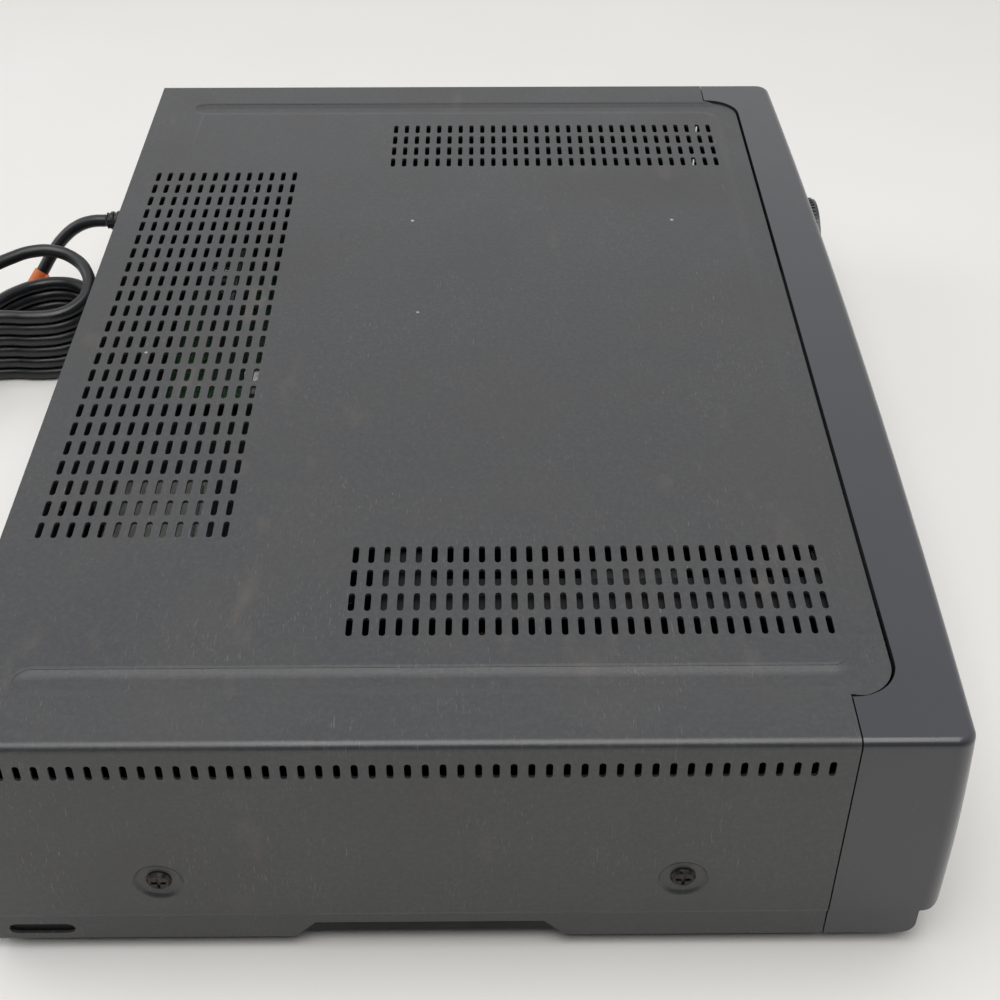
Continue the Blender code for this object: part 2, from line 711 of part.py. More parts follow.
def make_cover():
    jog_z = BASE_Z + STRIP_HEIGHT
    side = SIDE_X
    strip = SIDE_X - STRIP_INSET
    bend = (SIDE_X - BEND_RADIUS, TOP_Z - BEND_RADIUS)
    right = [(strip, BASE_Z), (strip, jog_z), (side, jog_z + STRIP_INSET)]
    right += arc(bend, BEND_RADIUS, 0, math.pi / 2, 4)
    section = right + [(-x, z) for x, z in reversed(right)]
    work = bmesh.new()
    points = [work.verts.new((x, REAR_Y, z)) for x, z in section]
    edges = [work.edges.new(pair) for pair in zip(points, points[1:])]
    swept = bmesh.ops.extrude_edge_only(work, edges=edges)["geom"]
    moved = [item for item in swept if isinstance(item, bmesh.types.BMVert)]
    bmesh.ops.translate(work, verts=moved, vec=(0, SEAM_Y - REAR_Y, 0))
    bmesh.ops.recalc_face_normals(work, faces=work.faces)
    top_face = max(work.faces, key=lambda face: face.calc_center_median().z)
    if top_face.normal.z < 0:
        bmesh.ops.reverse_faces(work, faces=work.faces)
    cover = from_bmesh("top_cover", work, PAINT)
    wall = cover.modifiers.new("Solidify", "SOLIDIFY")
    wall.thickness = SHEET
    wall.offset = -1
    wall.use_even_offset = True

    tongue_x = GROOVE_OFFSET + GROOVE_WIDTH / 2 + TONGUE_EDGE
    sheet_z = TOP_Z - SHEET
    tongue_radius = TONGUE_RADIUS + TONGUE_EDGE
    tongue = tongue_outline(tongue_x, TONGUE_Y - TONGUE_EDGE, tongue_radius, SEAM_Y + OVERRUN)
    fuse(cover, plate("tongue", tongue, "Z", sheet_z, TOP_Z))
    pan_outline = groove_outline(SHEET, TONGUE_EDGE, SEAM_Y + SEAT_GAP)
    pan = plate("groove_pan", pan_outline, "Z", sheet_z - GROOVE_DEPTH, sheet_z + SHEET / 2)
    fuse(cover, pan)
    lip_low = (-SIDE_X + LIP_MARGIN, REAR_Y - SHEET, TOP_Z - LIP_HEIGHT)
    lip_high = (SIDE_X - LIP_MARGIN, REAR_Y, TOP_Z - SHEET / 2)
    fuse(cover, box("rear_lip", lip_low, lip_high))
    for margin in DIMPLE_MARGINS:
        for side_sign, side_name in ((-1, "left"), (1, "right")):
            start = (side_sign * (SIDE_X - 2 * SHEET), REAR_Y - margin, BASE_Z + DIMPLE_HEIGHT)
            end = side_sign * (SIDE_X - SHEET / 2)
            label = f"dimple_{side_name}_{round(margin / SHEET)}"
            fuse(cover, cylinder(label, DIMPLE_RADIUS + SHEET, start, end, "X", segments=12))

    groove_tool = groove_outline(0, OVERRUN, SEAM_Y - SEAT_GAP)
    cut(cover, plate("groove", groove_tool, "Z", TOP_Z - GROOVE_DEPTH, TOP_Z + OVERRUN))
    tools = []
    for margin in DIMPLE_MARGINS:
        for side_sign in (-1, 1):
            place = (side_sign * (SIDE_X - SHEET), REAR_Y - margin, BASE_Z + DIMPLE_HEIGHT)
            tools.append(cylinder("dimple", DIMPLE_RADIUS, place, side_sign * (SIDE_X + OVERRUN), "X",
                                  segments=12))
    cut(cover, join_mesh(tools, "dimple_faces"))
    tools = []
    for margin in DIMPLE_MARGINS:
        for side_sign in (-1, 1):
            place = (side_sign * (SIDE_X - 2 * SHEET - OVERRUN), REAR_Y - margin, BASE_Z + DIMPLE_HEIGHT)
            end = side_sign * (SIDE_X - SHEET / 2)
            tools.append(cylinder("hole", SCREW_HOLE_RADIUS, place, end, "X", segments=8))
    cut(cover, join_mesh(tools, "screw_holes"))
    notch_rear = REAR_Y - NOTCH_FROM_REAR
    notch_front = notch_rear - NOTCH_LENGTH
    notch = [(notch_rear, BASE_Z - OVERRUN), (notch_rear, BASE_Z),
             (notch_rear - NOTCH_SLOPE, BASE_Z + NOTCH_HEIGHT), (notch_front + NOTCH_SLOPE,
                                                                 BASE_Z + NOTCH_HEIGHT),
             (notch_front, BASE_Z), (notch_front, BASE_Z - OVERRUN)]
    cut(cover, plate("side_notch", notch, "X", -SIDE_X - OVERRUN, SIDE_X + OVERRUN))
    vent_y = REAR_Y - VENT_FROM_REAR
    vent_z = BASE_Z + VENT_LEVEL - VENT_HEIGHT / 2
    vent_low = (-SIDE_X - OVERRUN, vent_y - VENT_LENGTH, vent_z)
    vent_high = (SIDE_X + OVERRUN, vent_y, vent_z + VENT_HEIGHT)
    cut(cover, box("side_vent", vent_low, vent_high))
    row_span = (REAR_SLOT_ROWS - 1) * SLOT_ROW_PITCH
    wing_span = (WING_SLOT_ROWS - 1) * SLOT_ROW_PITCH
    wing_y = REAR_Y - WING_SLOT_MARGIN
    fields = [slot_grid("rear_slots", -row_span / 2, REAR_Y - REAR_SLOT_MARGIN, REAR_SLOT_ROWS,
                        REAR_SLOT_COLUMNS),
              slot_grid("right_slots", WING_SLOT_OFFSET, wing_y, WING_SLOT_ROWS, WING_SLOT_COLUMNS),
              slot_grid("left_slots", -WING_SLOT_OFFSET - wing_span, wing_y, WING_SLOT_ROWS,
                        WING_SLOT_COLUMNS)]
    cut(cover, join_mesh(fields, "top_slots"))


def front_depth(x, half_width=SIDE_X):
    """How far the bezel's front reaches ahead of the seam at X, for its bow and round corners."""
    flat = half_width - BEZEL_CORNER
    full = SEAM_Y - FRONT_Y
    bow = BEZEL_BOW * (x / flat) ** 2
    depth = full - min(bow, BEZEL_BOW)
    past = abs(x) - flat
    if past > 0:
        drop = BEZEL_CORNER - math.sqrt(max(BEZEL_CORNER ** 2 - past ** 2, 0))
        depth -= drop
    return depth


def bezel_profile(inset):
    """Side view of the bezel as shares of its full reach and world heights, moved in by a wall."""
    reach = SEAM_Y - FRONT_Y
    top = TOP_Z - inset
    bottom = BASE_Z + inset
    plinth_top = BASE_Z + PLINTH_HEIGHT
    face = reach - inset
    round_size = BEZEL_ROUND
    upper = []
    for step in range(ROUND_STEPS + 1):
        angle = math.pi / 2 * step / ROUND_STEPS
        depth = face - BEZEL_BULGE - round_size + round_size * math.sin(angle)
        upper.append((depth, top - round_size + round_size * math.cos(angle)))
    bulge = [(face - BEZEL_BULGE / 3, top - BULGE_DROP / 3),
             (face, top - BULGE_DROP),
             (face - BEZEL_BULGE / 3, plinth_top + inset + 2 * round_size)]
    lower = []
    for step in range(ROUND_STEPS + 1):
        angle = math.pi / 2 * step / ROUND_STEPS
        depth = face - BEZEL_BULGE - round_size + round_size * math.cos(angle)
        lower.append((depth, plinth_top + inset + round_size - round_size * math.sin(angle)))
    plinth = [(face - PLINTH_SETBACK, plinth_top + inset)]
    foot = (face - PLINTH_SETBACK - PLINTH_ROUND, bottom + PLINTH_ROUND)
    plinth += arc(foot, PLINTH_ROUND, 0, -math.pi / 2, ROUND_STEPS)
    return [(0, top)] + upper + bulge + lower + plinth + [(0, bottom)]


def bezel_body(name, inset, finish=None, rear_y=SEAM_Y):
    """The bezel's outer form: its side view swept across the width, drawn in along a bowed front."""
    half_width = SIDE_X - inset
    flat = half_width - BEZEL_CORNER
    stations = [-flat + 2 * flat * step / BEZEL_STATIONS for step in range(BEZEL_STATIONS + 1)]
    corner = []
    for step in range(1, CORNER_STEPS + 1):
        corner.append(flat + BEZEL_CORNER * math.sin(math.pi / 2 * step / CORNER_STEPS) * CORNER_SWEEP_SHARE)
    stations = [-x for x in reversed(corner)] + stations + corner
    full = SEAM_Y - FRONT_Y
    profile = bezel_profile(inset)
    work = bmesh.new()
    rings = []
    for x in stations:
        share = front_depth(x, half_width) / full
        ring = []
        for depth, z in profile:
            y = rear_y if depth == 0 else SEAM_Y - depth * share
            ring.append(work.verts.new((x, y, z)))
        rings.append(ring)
    count = len(profile)
    for first, second in zip(rings, rings[1:]):
        for index in range(count):
            following = (index + 1) % count
            work.faces.new((first[index], first[following], second[following], second[index]))
    work.faces.new(rings[0])
    work.faces.new(rings[-1])
    bmesh.ops.recalc_face_normals(work, faces=work.faces)
    return from_bmesh(name, work, finish)


def face_y(x, z):
    """The bezel's front face at a place, from its bow and its bulge."""
    profile = bezel_profile(0)
    full = SEAM_Y - FRONT_Y
    reach = 0.0
    for (depth_a, z_a), (depth_b, z_b) in zip(profile, profile[1:]):
        if z_b < z <= z_a and z_a > z_b:
            share = (z_a - z) / (z_a - z_b)
            reach = max(reach, depth_a + (depth_b - depth_a) * share)
    return SEAM_Y - reach * front_depth(x) / full


def key_place(column, row):
    """Place of a key in the block beside the cassette door, as X and height above the base."""
    return DOOR_SIDE_X + KEY_FROM_DOOR + column * KEY_PITCH, KEY_LEVEL + row * KEY_ROW_PITCH


BUTTONS = {
    "power_button": (POWER_FROM_SIDE - SIDE_X, POWER_LEVEL, POWER_WIDTH, POWER_HEIGHT),
    "eject_button": (DOOR_SIDE_X + EJECT_FROM_DOOR, EJECT_LEVEL, EJECT_WIDTH, EJECT_HEIGHT),
    "rewind_button": (*key_place(0, 1), KEY_WIDTH, KEY_HEIGHT),
    "play_button": (*key_place(1, 1), MIDDLE_KEY_WIDTH, KEY_HEIGHT),
    "forward_button": (*key_place(2, 1), KEY_WIDTH, KEY_HEIGHT),
    "stop_button": (*key_place(1, 0), MIDDLE_KEY_WIDTH, KEY_HEIGHT),
    "pause_button": (*key_place(2, 0), KEY_WIDTH, KEY_HEIGHT),
    "record_button": (*key_place(0, 0), KEY_WIDTH, KEY_HEIGHT),
}


def make_bezel():
    bezel = bezel_body("front_bezel", 0, BEZEL_PLASTIC, SEAM_Y - SEAT_GAP)
    boss_y = min(face_y(DIAL_X - BOSS_RADIUS, DIAL_Z), face_y(DIAL_X, DIAL_Z))
    boss_start = (DIAL_X, boss_y + BEZEL_WALL, DIAL_Z)
    fuse(bezel, cylinder("dial_boss", BOSS_RADIUS, boss_start, boss_y, "Y", segments=24))
    inner = bezel_body("bezel_hollow", BEZEL_WALL, None, SEAM_Y + OVERRUN)
    cut(bezel, inner)
    edge = TONGUE_EDGE + BORDER_GAP
    tongue_x = GROOVE_OFFSET + GROOVE_WIDTH / 2 + edge
    opening = tongue_outline(tongue_x, TONGUE_Y - edge, TONGUE_RADIUS + edge, SEAM_Y + OVERRUN)
    cut(bezel, plate("tongue_opening", opening, "Z", TOP_Z - 2 * BEZEL_WALL, TOP_Z + OVERRUN))
    floor_y = CHASSIS_FRONT_Y - SEAT_GAP
    floor_low = (-FLANGE_X, floor_y, BASE_Z - OVERRUN)
    floor_high = (FLANGE_X, SEAM_Y + OVERRUN, BASE_Z + 2 * BEZEL_WALL)
    cut(bezel, box("floor_opening", floor_low, floor_high))
    door_low = (DECK_X - DOOR_WIDTH / 2 - DOOR_GAP, FRONT_Y - OVERRUN, DOOR_Z - DOOR_GAP)
    door_high = (DECK_X + DOOR_WIDTH / 2 + DOOR_GAP, CHASSIS_FRONT_Y, DOOR_Z + DOOR_HEIGHT + DOOR_GAP)
    window_low = (DECK_X - WINDOW_WIDTH / 2 - PANE_GAP, FRONT_Y - OVERRUN, WINDOW_Z - PANE_GAP)
    window_high = (DECK_X + WINDOW_WIDTH / 2 + PANE_GAP, CHASSIS_FRONT_Y, WINDOW_Z + WINDOW_HEIGHT + PANE_GAP)
    cut(bezel, box("door_opening", door_low, door_high), box("window_opening", window_low, window_high))
    tools = []
    for x, z, width, height in BUTTONS.values():
        low = (x - width / 2 - BUTTON_GAP, FRONT_Y - OVERRUN, BASE_Z + z - height / 2 - BUTTON_GAP)
        high = (x + width / 2 + BUTTON_GAP, CHASSIS_FRONT_Y, BASE_Z + z + height / 2 + BUTTON_GAP)
        tools.append(box("hole", low, high))
    cut(bezel, join_mesh(tools, "button_openings"))
    for side_sign in (-1, 1):
        inner_x = side_sign * (SIDE_X - STRIP_INSET)
        outer_x = side_sign * (SIDE_X + OVERRUN)
        strip_low = (min(inner_x, outer_x), FRONT_Y - OVERRUN, BASE_Z - OVERRUN)
        strip_high = (max(inner_x, outer_x), SEAM_Y + OVERRUN, BASE_Z + STRIP_HEIGHT)
        cut(bezel, box(f"bezel_strip_{side_sign}", strip_low, strip_high))
    collar = (DIAL_X, boss_y - OVERRUN, DIAL_Z)
    cut(bezel, cylinder("dial_hole", COLLAR_RADIUS + RUN_GAP, collar, CHASSIS_FRONT_Y, "Y", segments=16))
    return boss_y


def skin(name, thickness, low, high, finish):
    """A panel that follows the bezel's face: a window of its outer form with a wall of its own."""
    panel = bezel_body(name, 0, finish)
    cut(panel, bezel_body(name + "_back", thickness, None, SEAM_Y + OVERRUN))
    keep = box(name + "_keep", low, high)
    boolean(panel, keep, "INTERSECT")
    return panel


def set_origin(target, origin):
    """Move an object's origin to a joint's axis and leave its mesh where it is."""
    origin = Vector(origin)
    target.data.transform(Matrix.Translation(-origin))
    target.location = origin


def make_door():
    half = DOOR_WIDTH / 2
    low = (DECK_X - half, FRONT_Y - OVERRUN, DOOR_Z)
    high = (DECK_X + half, CHASSIS_FRONT_Y, DOOR_Z + DOOR_HEIGHT)
    door = skin("cassette_door", DOOR_THICKNESS, low, high, BEZEL_PLASTIC)
    hinge = (DECK_X, door_hinge_y(), door_hinge_z())
    for side_sign in (-1, 1):
        outer = DECK_X + side_sign * half
        inner = outer - side_sign * DOOR_EAR_WIDTH
        ear_front = face_y(outer, hinge[2]) + DOOR_THICKNESS / 2
        ear_low = (min(outer, inner), ear_front, hinge[2] - DOOR_EAR_HEIGHT / 2)
        ear_high = (max(outer, inner), hinge[1] + 2 * HINGE_PIN_RADIUS, hinge[2] + DOOR_EAR_RISE)
        fuse(door, box(f"door_ear_{side_sign}", ear_low, ear_high))
    set_origin(door, hinge)


def door_hinge_y():
    edge = face_y(DECK_X - DOOR_WIDTH / 2, DOOR_Z + DOOR_HEIGHT)
    return edge + DOOR_THICKNESS + HINGE_PIN_RADIUS


def door_hinge_z():
    return DOOR_Z + DOOR_HEIGHT - 2 * HINGE_PIN_RADIUS - DOOR_GAP


def make_window():
    half = WINDOW_WIDTH / 2
    low = (DECK_X - half, FRONT_Y - OVERRUN, WINDOW_Z)
    high = (DECK_X + half, CHASSIS_FRONT_Y, WINDOW_Z + WINDOW_HEIGHT)
    skin("display_window", WINDOW_THICKNESS, low, high, SMOKED)


def make_buttons():
    for name, (x, z, width, height) in BUTTONS.items():
        front = face_y(x, BASE_Z + z) - BUTTON_PROUD
        deepest = max(face_y(x - width / 2, BASE_Z + z), face_y(x + width / 2, BASE_Z + z))
        back = deepest + BEZEL_WALL + BEZEL_BULGE / 2 + SEAT_GAP
        middle = BASE_Z + z
        cap_low = (x - width / 2, front, middle - height / 2)
        cap_high = (x + width / 2, back, middle + height / 2)
        cap = box(name, cap_low, cap_high, DARK_PLASTIC)
        round_edges(cap, BUTTON_EDGE)
        reach = BUTTON_GAP + BUTTON_FLANGE
        flange_low = (x - width / 2 - reach, back - BUTTON_FLANGE / 2, middle - height / 2 - reach)
        flange_high = (x + width / 2 + reach, back + BUTTON_FLANGE / 2, middle + height / 2 + reach)
        fuse(cap, box(name + "_flange", flange_low, flange_high))
        stem_end = BOARD_Y - SWITCH_THICKNESS - BUTTON_TRAVEL - SEAT_GAP
        stem_start = (x, back, middle)
        fuse(cap, cylinder(name + "_stem", BUTTON_STEM_RADIUS, stem_start, stem_end, "Y", segments=8))


def make_dial(boss_y):
    center = (DIAL_X, boss_y, DIAL_Z)
    trim_front = boss_y - SEAT_GAP - TRIM_THICKNESS
    trim_back = boss_y - SEAT_GAP
    bore = COLLAR_RADIUS + RUN_GAP
    ring_plate("dial_trim_ring", TRIM_RADIUS, bore, trim_front, trim_back, SILVER_TRIM)
    ring_back = trim_front - SEAT_GAP
    ring_front = ring_back - RING_LENGTH
    ring = cylinder("shuttle_ring", RING_RADIUS, (DIAL_X, ring_back, DIAL_Z), ring_front, "Y", DARK_PLASTIC,
                    segments=32, origin=center)
    round_edges(ring, JOG_EDGE)
    pocket_back = ring_back - DIAL_FLOOR
    cut(ring, cylinder("ring_pocket", RING_BORE, (DIAL_X, pocket_back, DIAL_Z), ring_front - OVERRUN, "Y",
                       segments=24))
    collar_end = BOARD_Y - SWITCH_THICKNESS - SEAT_GAP
    fuse(ring,
         cylinder("ring_collar", COLLAR_RADIUS, (DIAL_X, ring_back - DIAL_FLOOR / 2, DIAL_Z), collar_end,
                        "Y", segments=16))
    cut(ring,
        cylinder("ring_bore", SHAFT_RADIUS + RUN_GAP, (DIAL_X, ring_front, DIAL_Z), collar_end + OVERRUN,
                       "Y", segments=12))
    jog_back = pocket_back - RUN_GAP
    jog_front = FRONT_Y - DIAL_PROUD
    jog = cylinder("jog_dial", JOG_RADIUS, (DIAL_X, jog_back, DIAL_Z), jog_front, "Y", DARK_PLASTIC,
                   segments=24, origin=center)
    round_edges(jog, JOG_EDGE)
    dish = (DIAL_X, jog_front + DIMPLE_DISH_DEPTH, DIAL_Z + DIMPLE_DISH_OFFSET)
    cut(jog, cylinder("finger_dish", DIMPLE_DISH_RADIUS / 2, dish, jog_front - OVERRUN, "Y", segments=12,
                      tip_radius=DIMPLE_DISH_RADIUS))
    fuse(jog, cylinder("jog_shaft", SHAFT_RADIUS, (DIAL_X, jog_back - DIAL_FLOOR, DIAL_Z), collar_end, "Y",
                       segments=12))


def ring_plate(name, radius, bore, front_y, back_y, finish):
    ring = cylinder(name, radius, (DIAL_X, front_y, DIAL_Z), back_y, "Y", finish, segments=32)
    cut(ring, cylinder(name + "_bore", bore, (DIAL_X, front_y - OVERRUN, DIAL_Z), back_y + OVERRUN, "Y",
                       segments=16))
    return ring


def make_chassis():
    low = (-FLANGE_X, CHASSIS_FRONT_Y, FLOOR_Z - SHEET)
    high = (FLANGE_X, CHASSIS_REAR_Y, BASE_Z + FLANGE_HEIGHT)
    chassis = box("bottom_chassis", low, high, STEEL)
    inside_low = (-FLANGE_X + SHEET, CHASSIS_FRONT_Y - OVERRUN, FLOOR_Z)
    inside_high = (FLANGE_X - SHEET, CHASSIS_REAR_Y + OVERRUN, high[2] + OVERRUN)
    cut(chassis, box("chassis_inside", inside_low, inside_high))
    for side_sign in (-1, 1):
        edge = side_sign * FLANGE_X
        wing_low = (min(edge - side_sign * 2 * SHEET, edge + side_sign * OVERRUN), CHASSIS_FRONT_Y - OVERRUN,
                    FLOOR_Z - SHEET - OVERRUN)
        wing_high = (max(edge - side_sign * 2 * SHEET, edge + side_sign * OVERRUN), SEAM_Y + RUN_GAP,
                     high[2] + OVERRUN)
        cut(chassis, box(f"flange_front_{side_sign}", wing_low, wing_high))
    tools = []
    for margin in DIMPLE_MARGINS:
        for side_sign in (-1, 1):
            place = (side_sign * (FLANGE_X + OVERRUN), REAR_Y - margin, BASE_Z + DIMPLE_HEIGHT)
            end = side_sign * (FLANGE_X - SHEET - OVERRUN)
            tools.append(cylinder("hole", SCREW_HOLE_RADIUS, place, end, "X", segments=8))
    cut(chassis, join_mesh(tools, "flange_holes"))
    tools = []
    for side_sign in (-1, 1):
        for step in range(VENT_SLIT_COUNT):
            x = side_sign * SIDE_X / 2 + (step - (VENT_SLIT_COUNT - 1) / 2) * VENT_SLIT_PITCH
            y = REAR_Y - COVER_DEPTH / 2
            slit_low = (x - VENT_SLIT_WIDTH / 2, y - VENT_SLIT_LENGTH / 2, FLOOR_Z - SHEET - OVERRUN)
            slit_high = (x + VENT_SLIT_WIDTH / 2, y + VENT_SLIT_LENGTH / 2, FLOOR_Z + OVERRUN)
            tools.append(box("slit", slit_low, slit_high))
    cut(chassis, join_mesh(tools, "floor_slits"))
    post_top = BOARD_LEVEL - SEAT_GAP
    for index, (x, y) in enumerate(board_corners()):
        fuse(chassis,
             cylinder(f"board_post_{index}", BOSS_POST_RADIUS, (x, y, FLOOR_Z - SHEET / 2), post_top, "Z",
                               segments=10))


def board_box():
    high_x = FLANGE_X - SHEET - BOARD_EDGE_GAP
    low = (DECK_X + DECK_HALF_WIDTH + BOARD_DECK_GAP, CHASSIS_FRONT_Y + BOARD_FRONT_GAP)
    high = (high_x, CHASSIS_REAR_Y - BOARD_REAR_GAP)
    return low, high


def board_corners():
    low, high = board_box()
    inset = 2 * BOSS_POST_RADIUS
    return [(low[0] + inset, low[1] + inset), (high[0] - inset, low[1] + inset),
            (high[0] - inset, high[1] - inset), (low[0] + inset, high[1] - inset)]


def make_feet():
    top = FLOOR_Z - SHEET - SEAT_GAP
    for side_sign, side_name in ((-1, "left"), (1, "right")):
        for margin, end_name in ((FOOT_FRONT_MARGIN, "front"), (FOOT_REAR_MARGIN, "rear")):
            x = side_sign * (SIDE_X - FOOT_INSET)
            y = REAR_Y - margin
            profile = [(0, top), (FOOT_RADIUS, top), (FOOT_RADIUS, FOOT_DRAFT),
                       (FOOT_RADIUS - FOOT_DRAFT, 0), (0, 0)]
            turned(f"foot_{end_name}_{side_name}", profile, RUBBER, 20, (x, y, 0))


def make_cover_screws():
    for margin, end_name in zip(DIMPLE_MARGINS, ("rear", "front")):
        for side_sign, side_name in ((-1, "left"), (1, "right")):
            seat = side_sign * (SIDE_X - SHEET + SEAT_GAP)
            y = REAR_Y - margin
            z = BASE_Z + DIMPLE_HEIGHT
            outer = seat + side_sign * SCREW_HEAD_HEIGHT
            screw = cylinder(f"cover_screw_{end_name}_{side_name}", SCREW_HEAD_RADIUS, (seat, y, z), outer,
                             "X",
                             DARK_PLASTIC, segments=16, tip_radius=SCREW_HEAD_RADIUS - SHEET)
            inner = seat - side_sign * SCREW_LENGTH
            shank_start = (seat + side_sign * SCREW_HEAD_HEIGHT / 2, y, z)
            fuse(screw,
                 cylinder(screw.name + "_shank", SCREW_SHANK_RADIUS, shank_start, inner, "X", segments=8))
            deep = outer - side_sign * CROSS_DEPTH
            bounds = (min(deep, outer + side_sign * OVERRUN), max(deep, outer + side_sign * OVERRUN))
            long = CROSS_LENGTH / 2
            wide = CROSS_WIDTH / 2
            cut(screw,
                box(screw.name + "_slot_a", (bounds[0], y - long, z - wide), (bounds[1], y + long, z + wide)),
                box(screw.name + "_slot_b", (bounds[0], y - wide, z - long), (bounds[1], y + wide, z + long)))


def jack_places():
    places = []
    for column in range(JACK_COLUMNS):
        for row in range(JACK_ROWS):
            x = JACK_BLOCK_OFFSET + (column - (JACK_COLUMNS - 1) / 2) * JACK_PITCH_X
            z = BASE_Z + JACK_BLOCK_LEVEL + (row - (JACK_ROWS - 1) / 2) * JACK_PITCH_Z
            places.append((x, z))
    return places


def aerial_places():
    middle = BASE_Z + AERIAL_LEVEL
    return [(AERIAL_OFFSET, middle - AERIAL_PITCH / 2), (AERIAL_OFFSET, middle + AERIAL_PITCH / 2)]


def make_rear_panel():
    low = (-FLANGE_X + SHEET, PANEL_Y - PANEL_THICKNESS, BASE_Z + CHASSIS_LIFT)
    high = (FLANGE_X - SHEET, PANEL_Y, TOP_Z - SHEET - PANEL_TOP_GAP)
    panel = box("rear_panel", low, high, STEEL)
    tools = []
    for x, z in jack_places():
        place = (x, low[1] - OVERRUN, z)
        tools.append(cylinder("hole", JACK_FLANGE_RADIUS + PORT_GAP, place, high[1] + OVERRUN, "Y",
                              segments=16))
    for x, z in aerial_places():
        place = (x, low[1] - OVERRUN, z)
        tools.append(cylinder("hole", AERIAL_RADIUS + PORT_GAP, place, high[1] + OVERRUN, "Y", segments=16))
    place = (EXIT_OFFSET, low[1] - OVERRUN, BASE_Z + EXIT_LEVEL)
    tools.append(cylinder("hole", RELIEF_NECK_RADIUS + PORT_GAP, place, high[1] + OVERRUN, "Y", segments=16))
    cut(panel, join_mesh(tools, "panel_holes"))


def make_sockets():
    back = PANEL_Y - PANEL_THICKNESS - SEAT_GAP
    xs = [x for x, z in jack_places()]
    zs = [z for x, z in jack_places()]
    reach = JACK_FLANGE_RADIUS + 2 * PORT_GAP
    low = (min(xs) - reach, back - JACK_BLOCK_DEPTH, min(zs) - reach)
    high = (max(xs) + reach, back, max(zs) + reach)
    block = box("jack_block", low, high, DARK_PLASTIC)
    end = REAR_Y + JACK_PROUD
    for index, (x, z) in enumerate(jack_places()):
        flange_end = PANEL_Y + SHEET
        start = (x, back - SHEET, z)
        fuse(block, cylinder(f"jack_flange_{index}", JACK_FLANGE_RADIUS, start, flange_end, "Y", segments=10))
        fuse(block, cylinder(f"jack_barrel_{index}", JACK_RADIUS, start, end, "Y", segments=10))
        cut(block,
            cylinder(f"jack_hole_{index}", JACK_PIN_RADIUS, (x, flange_end, z), end + OVERRUN, "Y",
                     segments=6))
    low = (AERIAL_OFFSET - AERIAL_BLOCK_WIDTH / 2, back - AERIAL_BLOCK_DEPTH,
           BASE_Z + AERIAL_LEVEL - AERIAL_BLOCK_HEIGHT / 2)
    high = (AERIAL_OFFSET + AERIAL_BLOCK_WIDTH / 2, back, BASE_Z + AERIAL_LEVEL + AERIAL_BLOCK_HEIGHT / 2)
    modulator = box("aerial_block", low, high, STEEL)
    for index, (x, z) in enumerate(aerial_places()):
        start = (x, back - SHEET, z)
        fuse(modulator, cylinder(f"aerial_barrel_{index}", AERIAL_RADIUS, start, end, "Y", segments=16))
        cut(modulator, cylinder(f"aerial_hole_{index}", JACK_PIN_RADIUS, (x, PANEL_Y, z), end + OVERRUN, "Y",
                                segments=8))


def deck_front():
    return FRONT_Y + DECK_FRONT_GAP


def can_front():
    return CHASSIS_REAR_Y - CAN_REAR_GAP - CAN_SIZE[1]


def drum_center():
    return (DECK_X, DRUM_Y)


def post_angles(side_sign):
    """Start and end of a tape guide's path about the drum: the right one turns positive."""
    start = -math.pi / 2 + side_sign * (math.pi / 2 - POST_START)
    return start, start + side_sign * POST_SWING


def make_deck_plate():
    front = deck_front()
    rear = can_front() - DECK_REAR_GAP
    outline = rounded_rectangle((DECK_X - DECK_HALF_WIDTH, front), (DECK_X + DECK_HALF_WIDTH, rear),
                                LEG_INSET)
    bottom = DECK_Z - DECK_THICKNESS
    deck = plate("deck_plate", outline, "Z", bottom, DECK_Z, STEEL)
    tools = []
    for side_sign in (-1, 1):
        start, end = post_angles(side_sign)
        margin = side_sign * math.asin(POST_TONGUE_RADIUS * TRACK_END_SHARE / POST_PATH_RADIUS)
        outer = arc(drum_center(), POST_PATH_RADIUS + POST_PATH_WIDTH / 2, start - margin, end + margin, 12)
        inner = arc(drum_center(), POST_PATH_RADIUS - POST_PATH_WIDTH / 2, end + margin, start - margin, 12)
        tools.append(plate("track", outer + inner, "Z", bottom - OVERRUN, DECK_Z + OVERRUN))
    capstan = (DECK_X + CAPSTAN_X, DRUM_Y + CAPSTAN_Y, bottom - OVERRUN)
    tools.append(cylinder("hole", BEARING_RADIUS + SEAT_GAP, capstan, DECK_Z + OVERRUN, "Z", segments=16))
    cam = cam_center()
    tools.append(cylinder("hole", CAM_SHAFT_RADIUS + SEAT_GAP, (cam[0], cam[1], bottom - OVERRUN),
                          DECK_Z + OVERRUN,
                          "Z", segments=12))
    cut(deck, join_mesh(tools, "deck_openings"))
    inset = 2 * LEG_RADIUS + LEG_INSET
    leg_places = ((-1, front + inset), (1, front + inset), (1, rear - inset), (-1, rear - inset))
    for index, (x_sign, y) in enumerate(leg_places):
        x = DECK_X + x_sign * (DECK_HALF_WIDTH - 2 * LEG_RADIUS)
        foot = FLOOR_Z + SEAT_GAP
        fuse(deck, cylinder(f"deck_leg_{index}", LEG_RADIUS, (x, y, foot), DECK_Z - DECK_THICKNESS / 2, "Z",
                            segments=12))


def frame_leg_inner():
    return HOLDER_HALF_WIDTH + RUN_GAP


def side_plate_inner():
    return frame_leg_inner() + FRAME_LEG_THICKNESS + RUN_GAP


def frame_leg_span():
    rear = TRAY_Y + FRAME_LEG_SETBACK + FRAME_LEG_LENGTH
    return rear - FRAME_LEG_LENGTH, rear


def frame_pin_level():
    return SIDE_PLATE_TOP - 6 * LIFT_PIN_RADIUS + SEAT_GAP


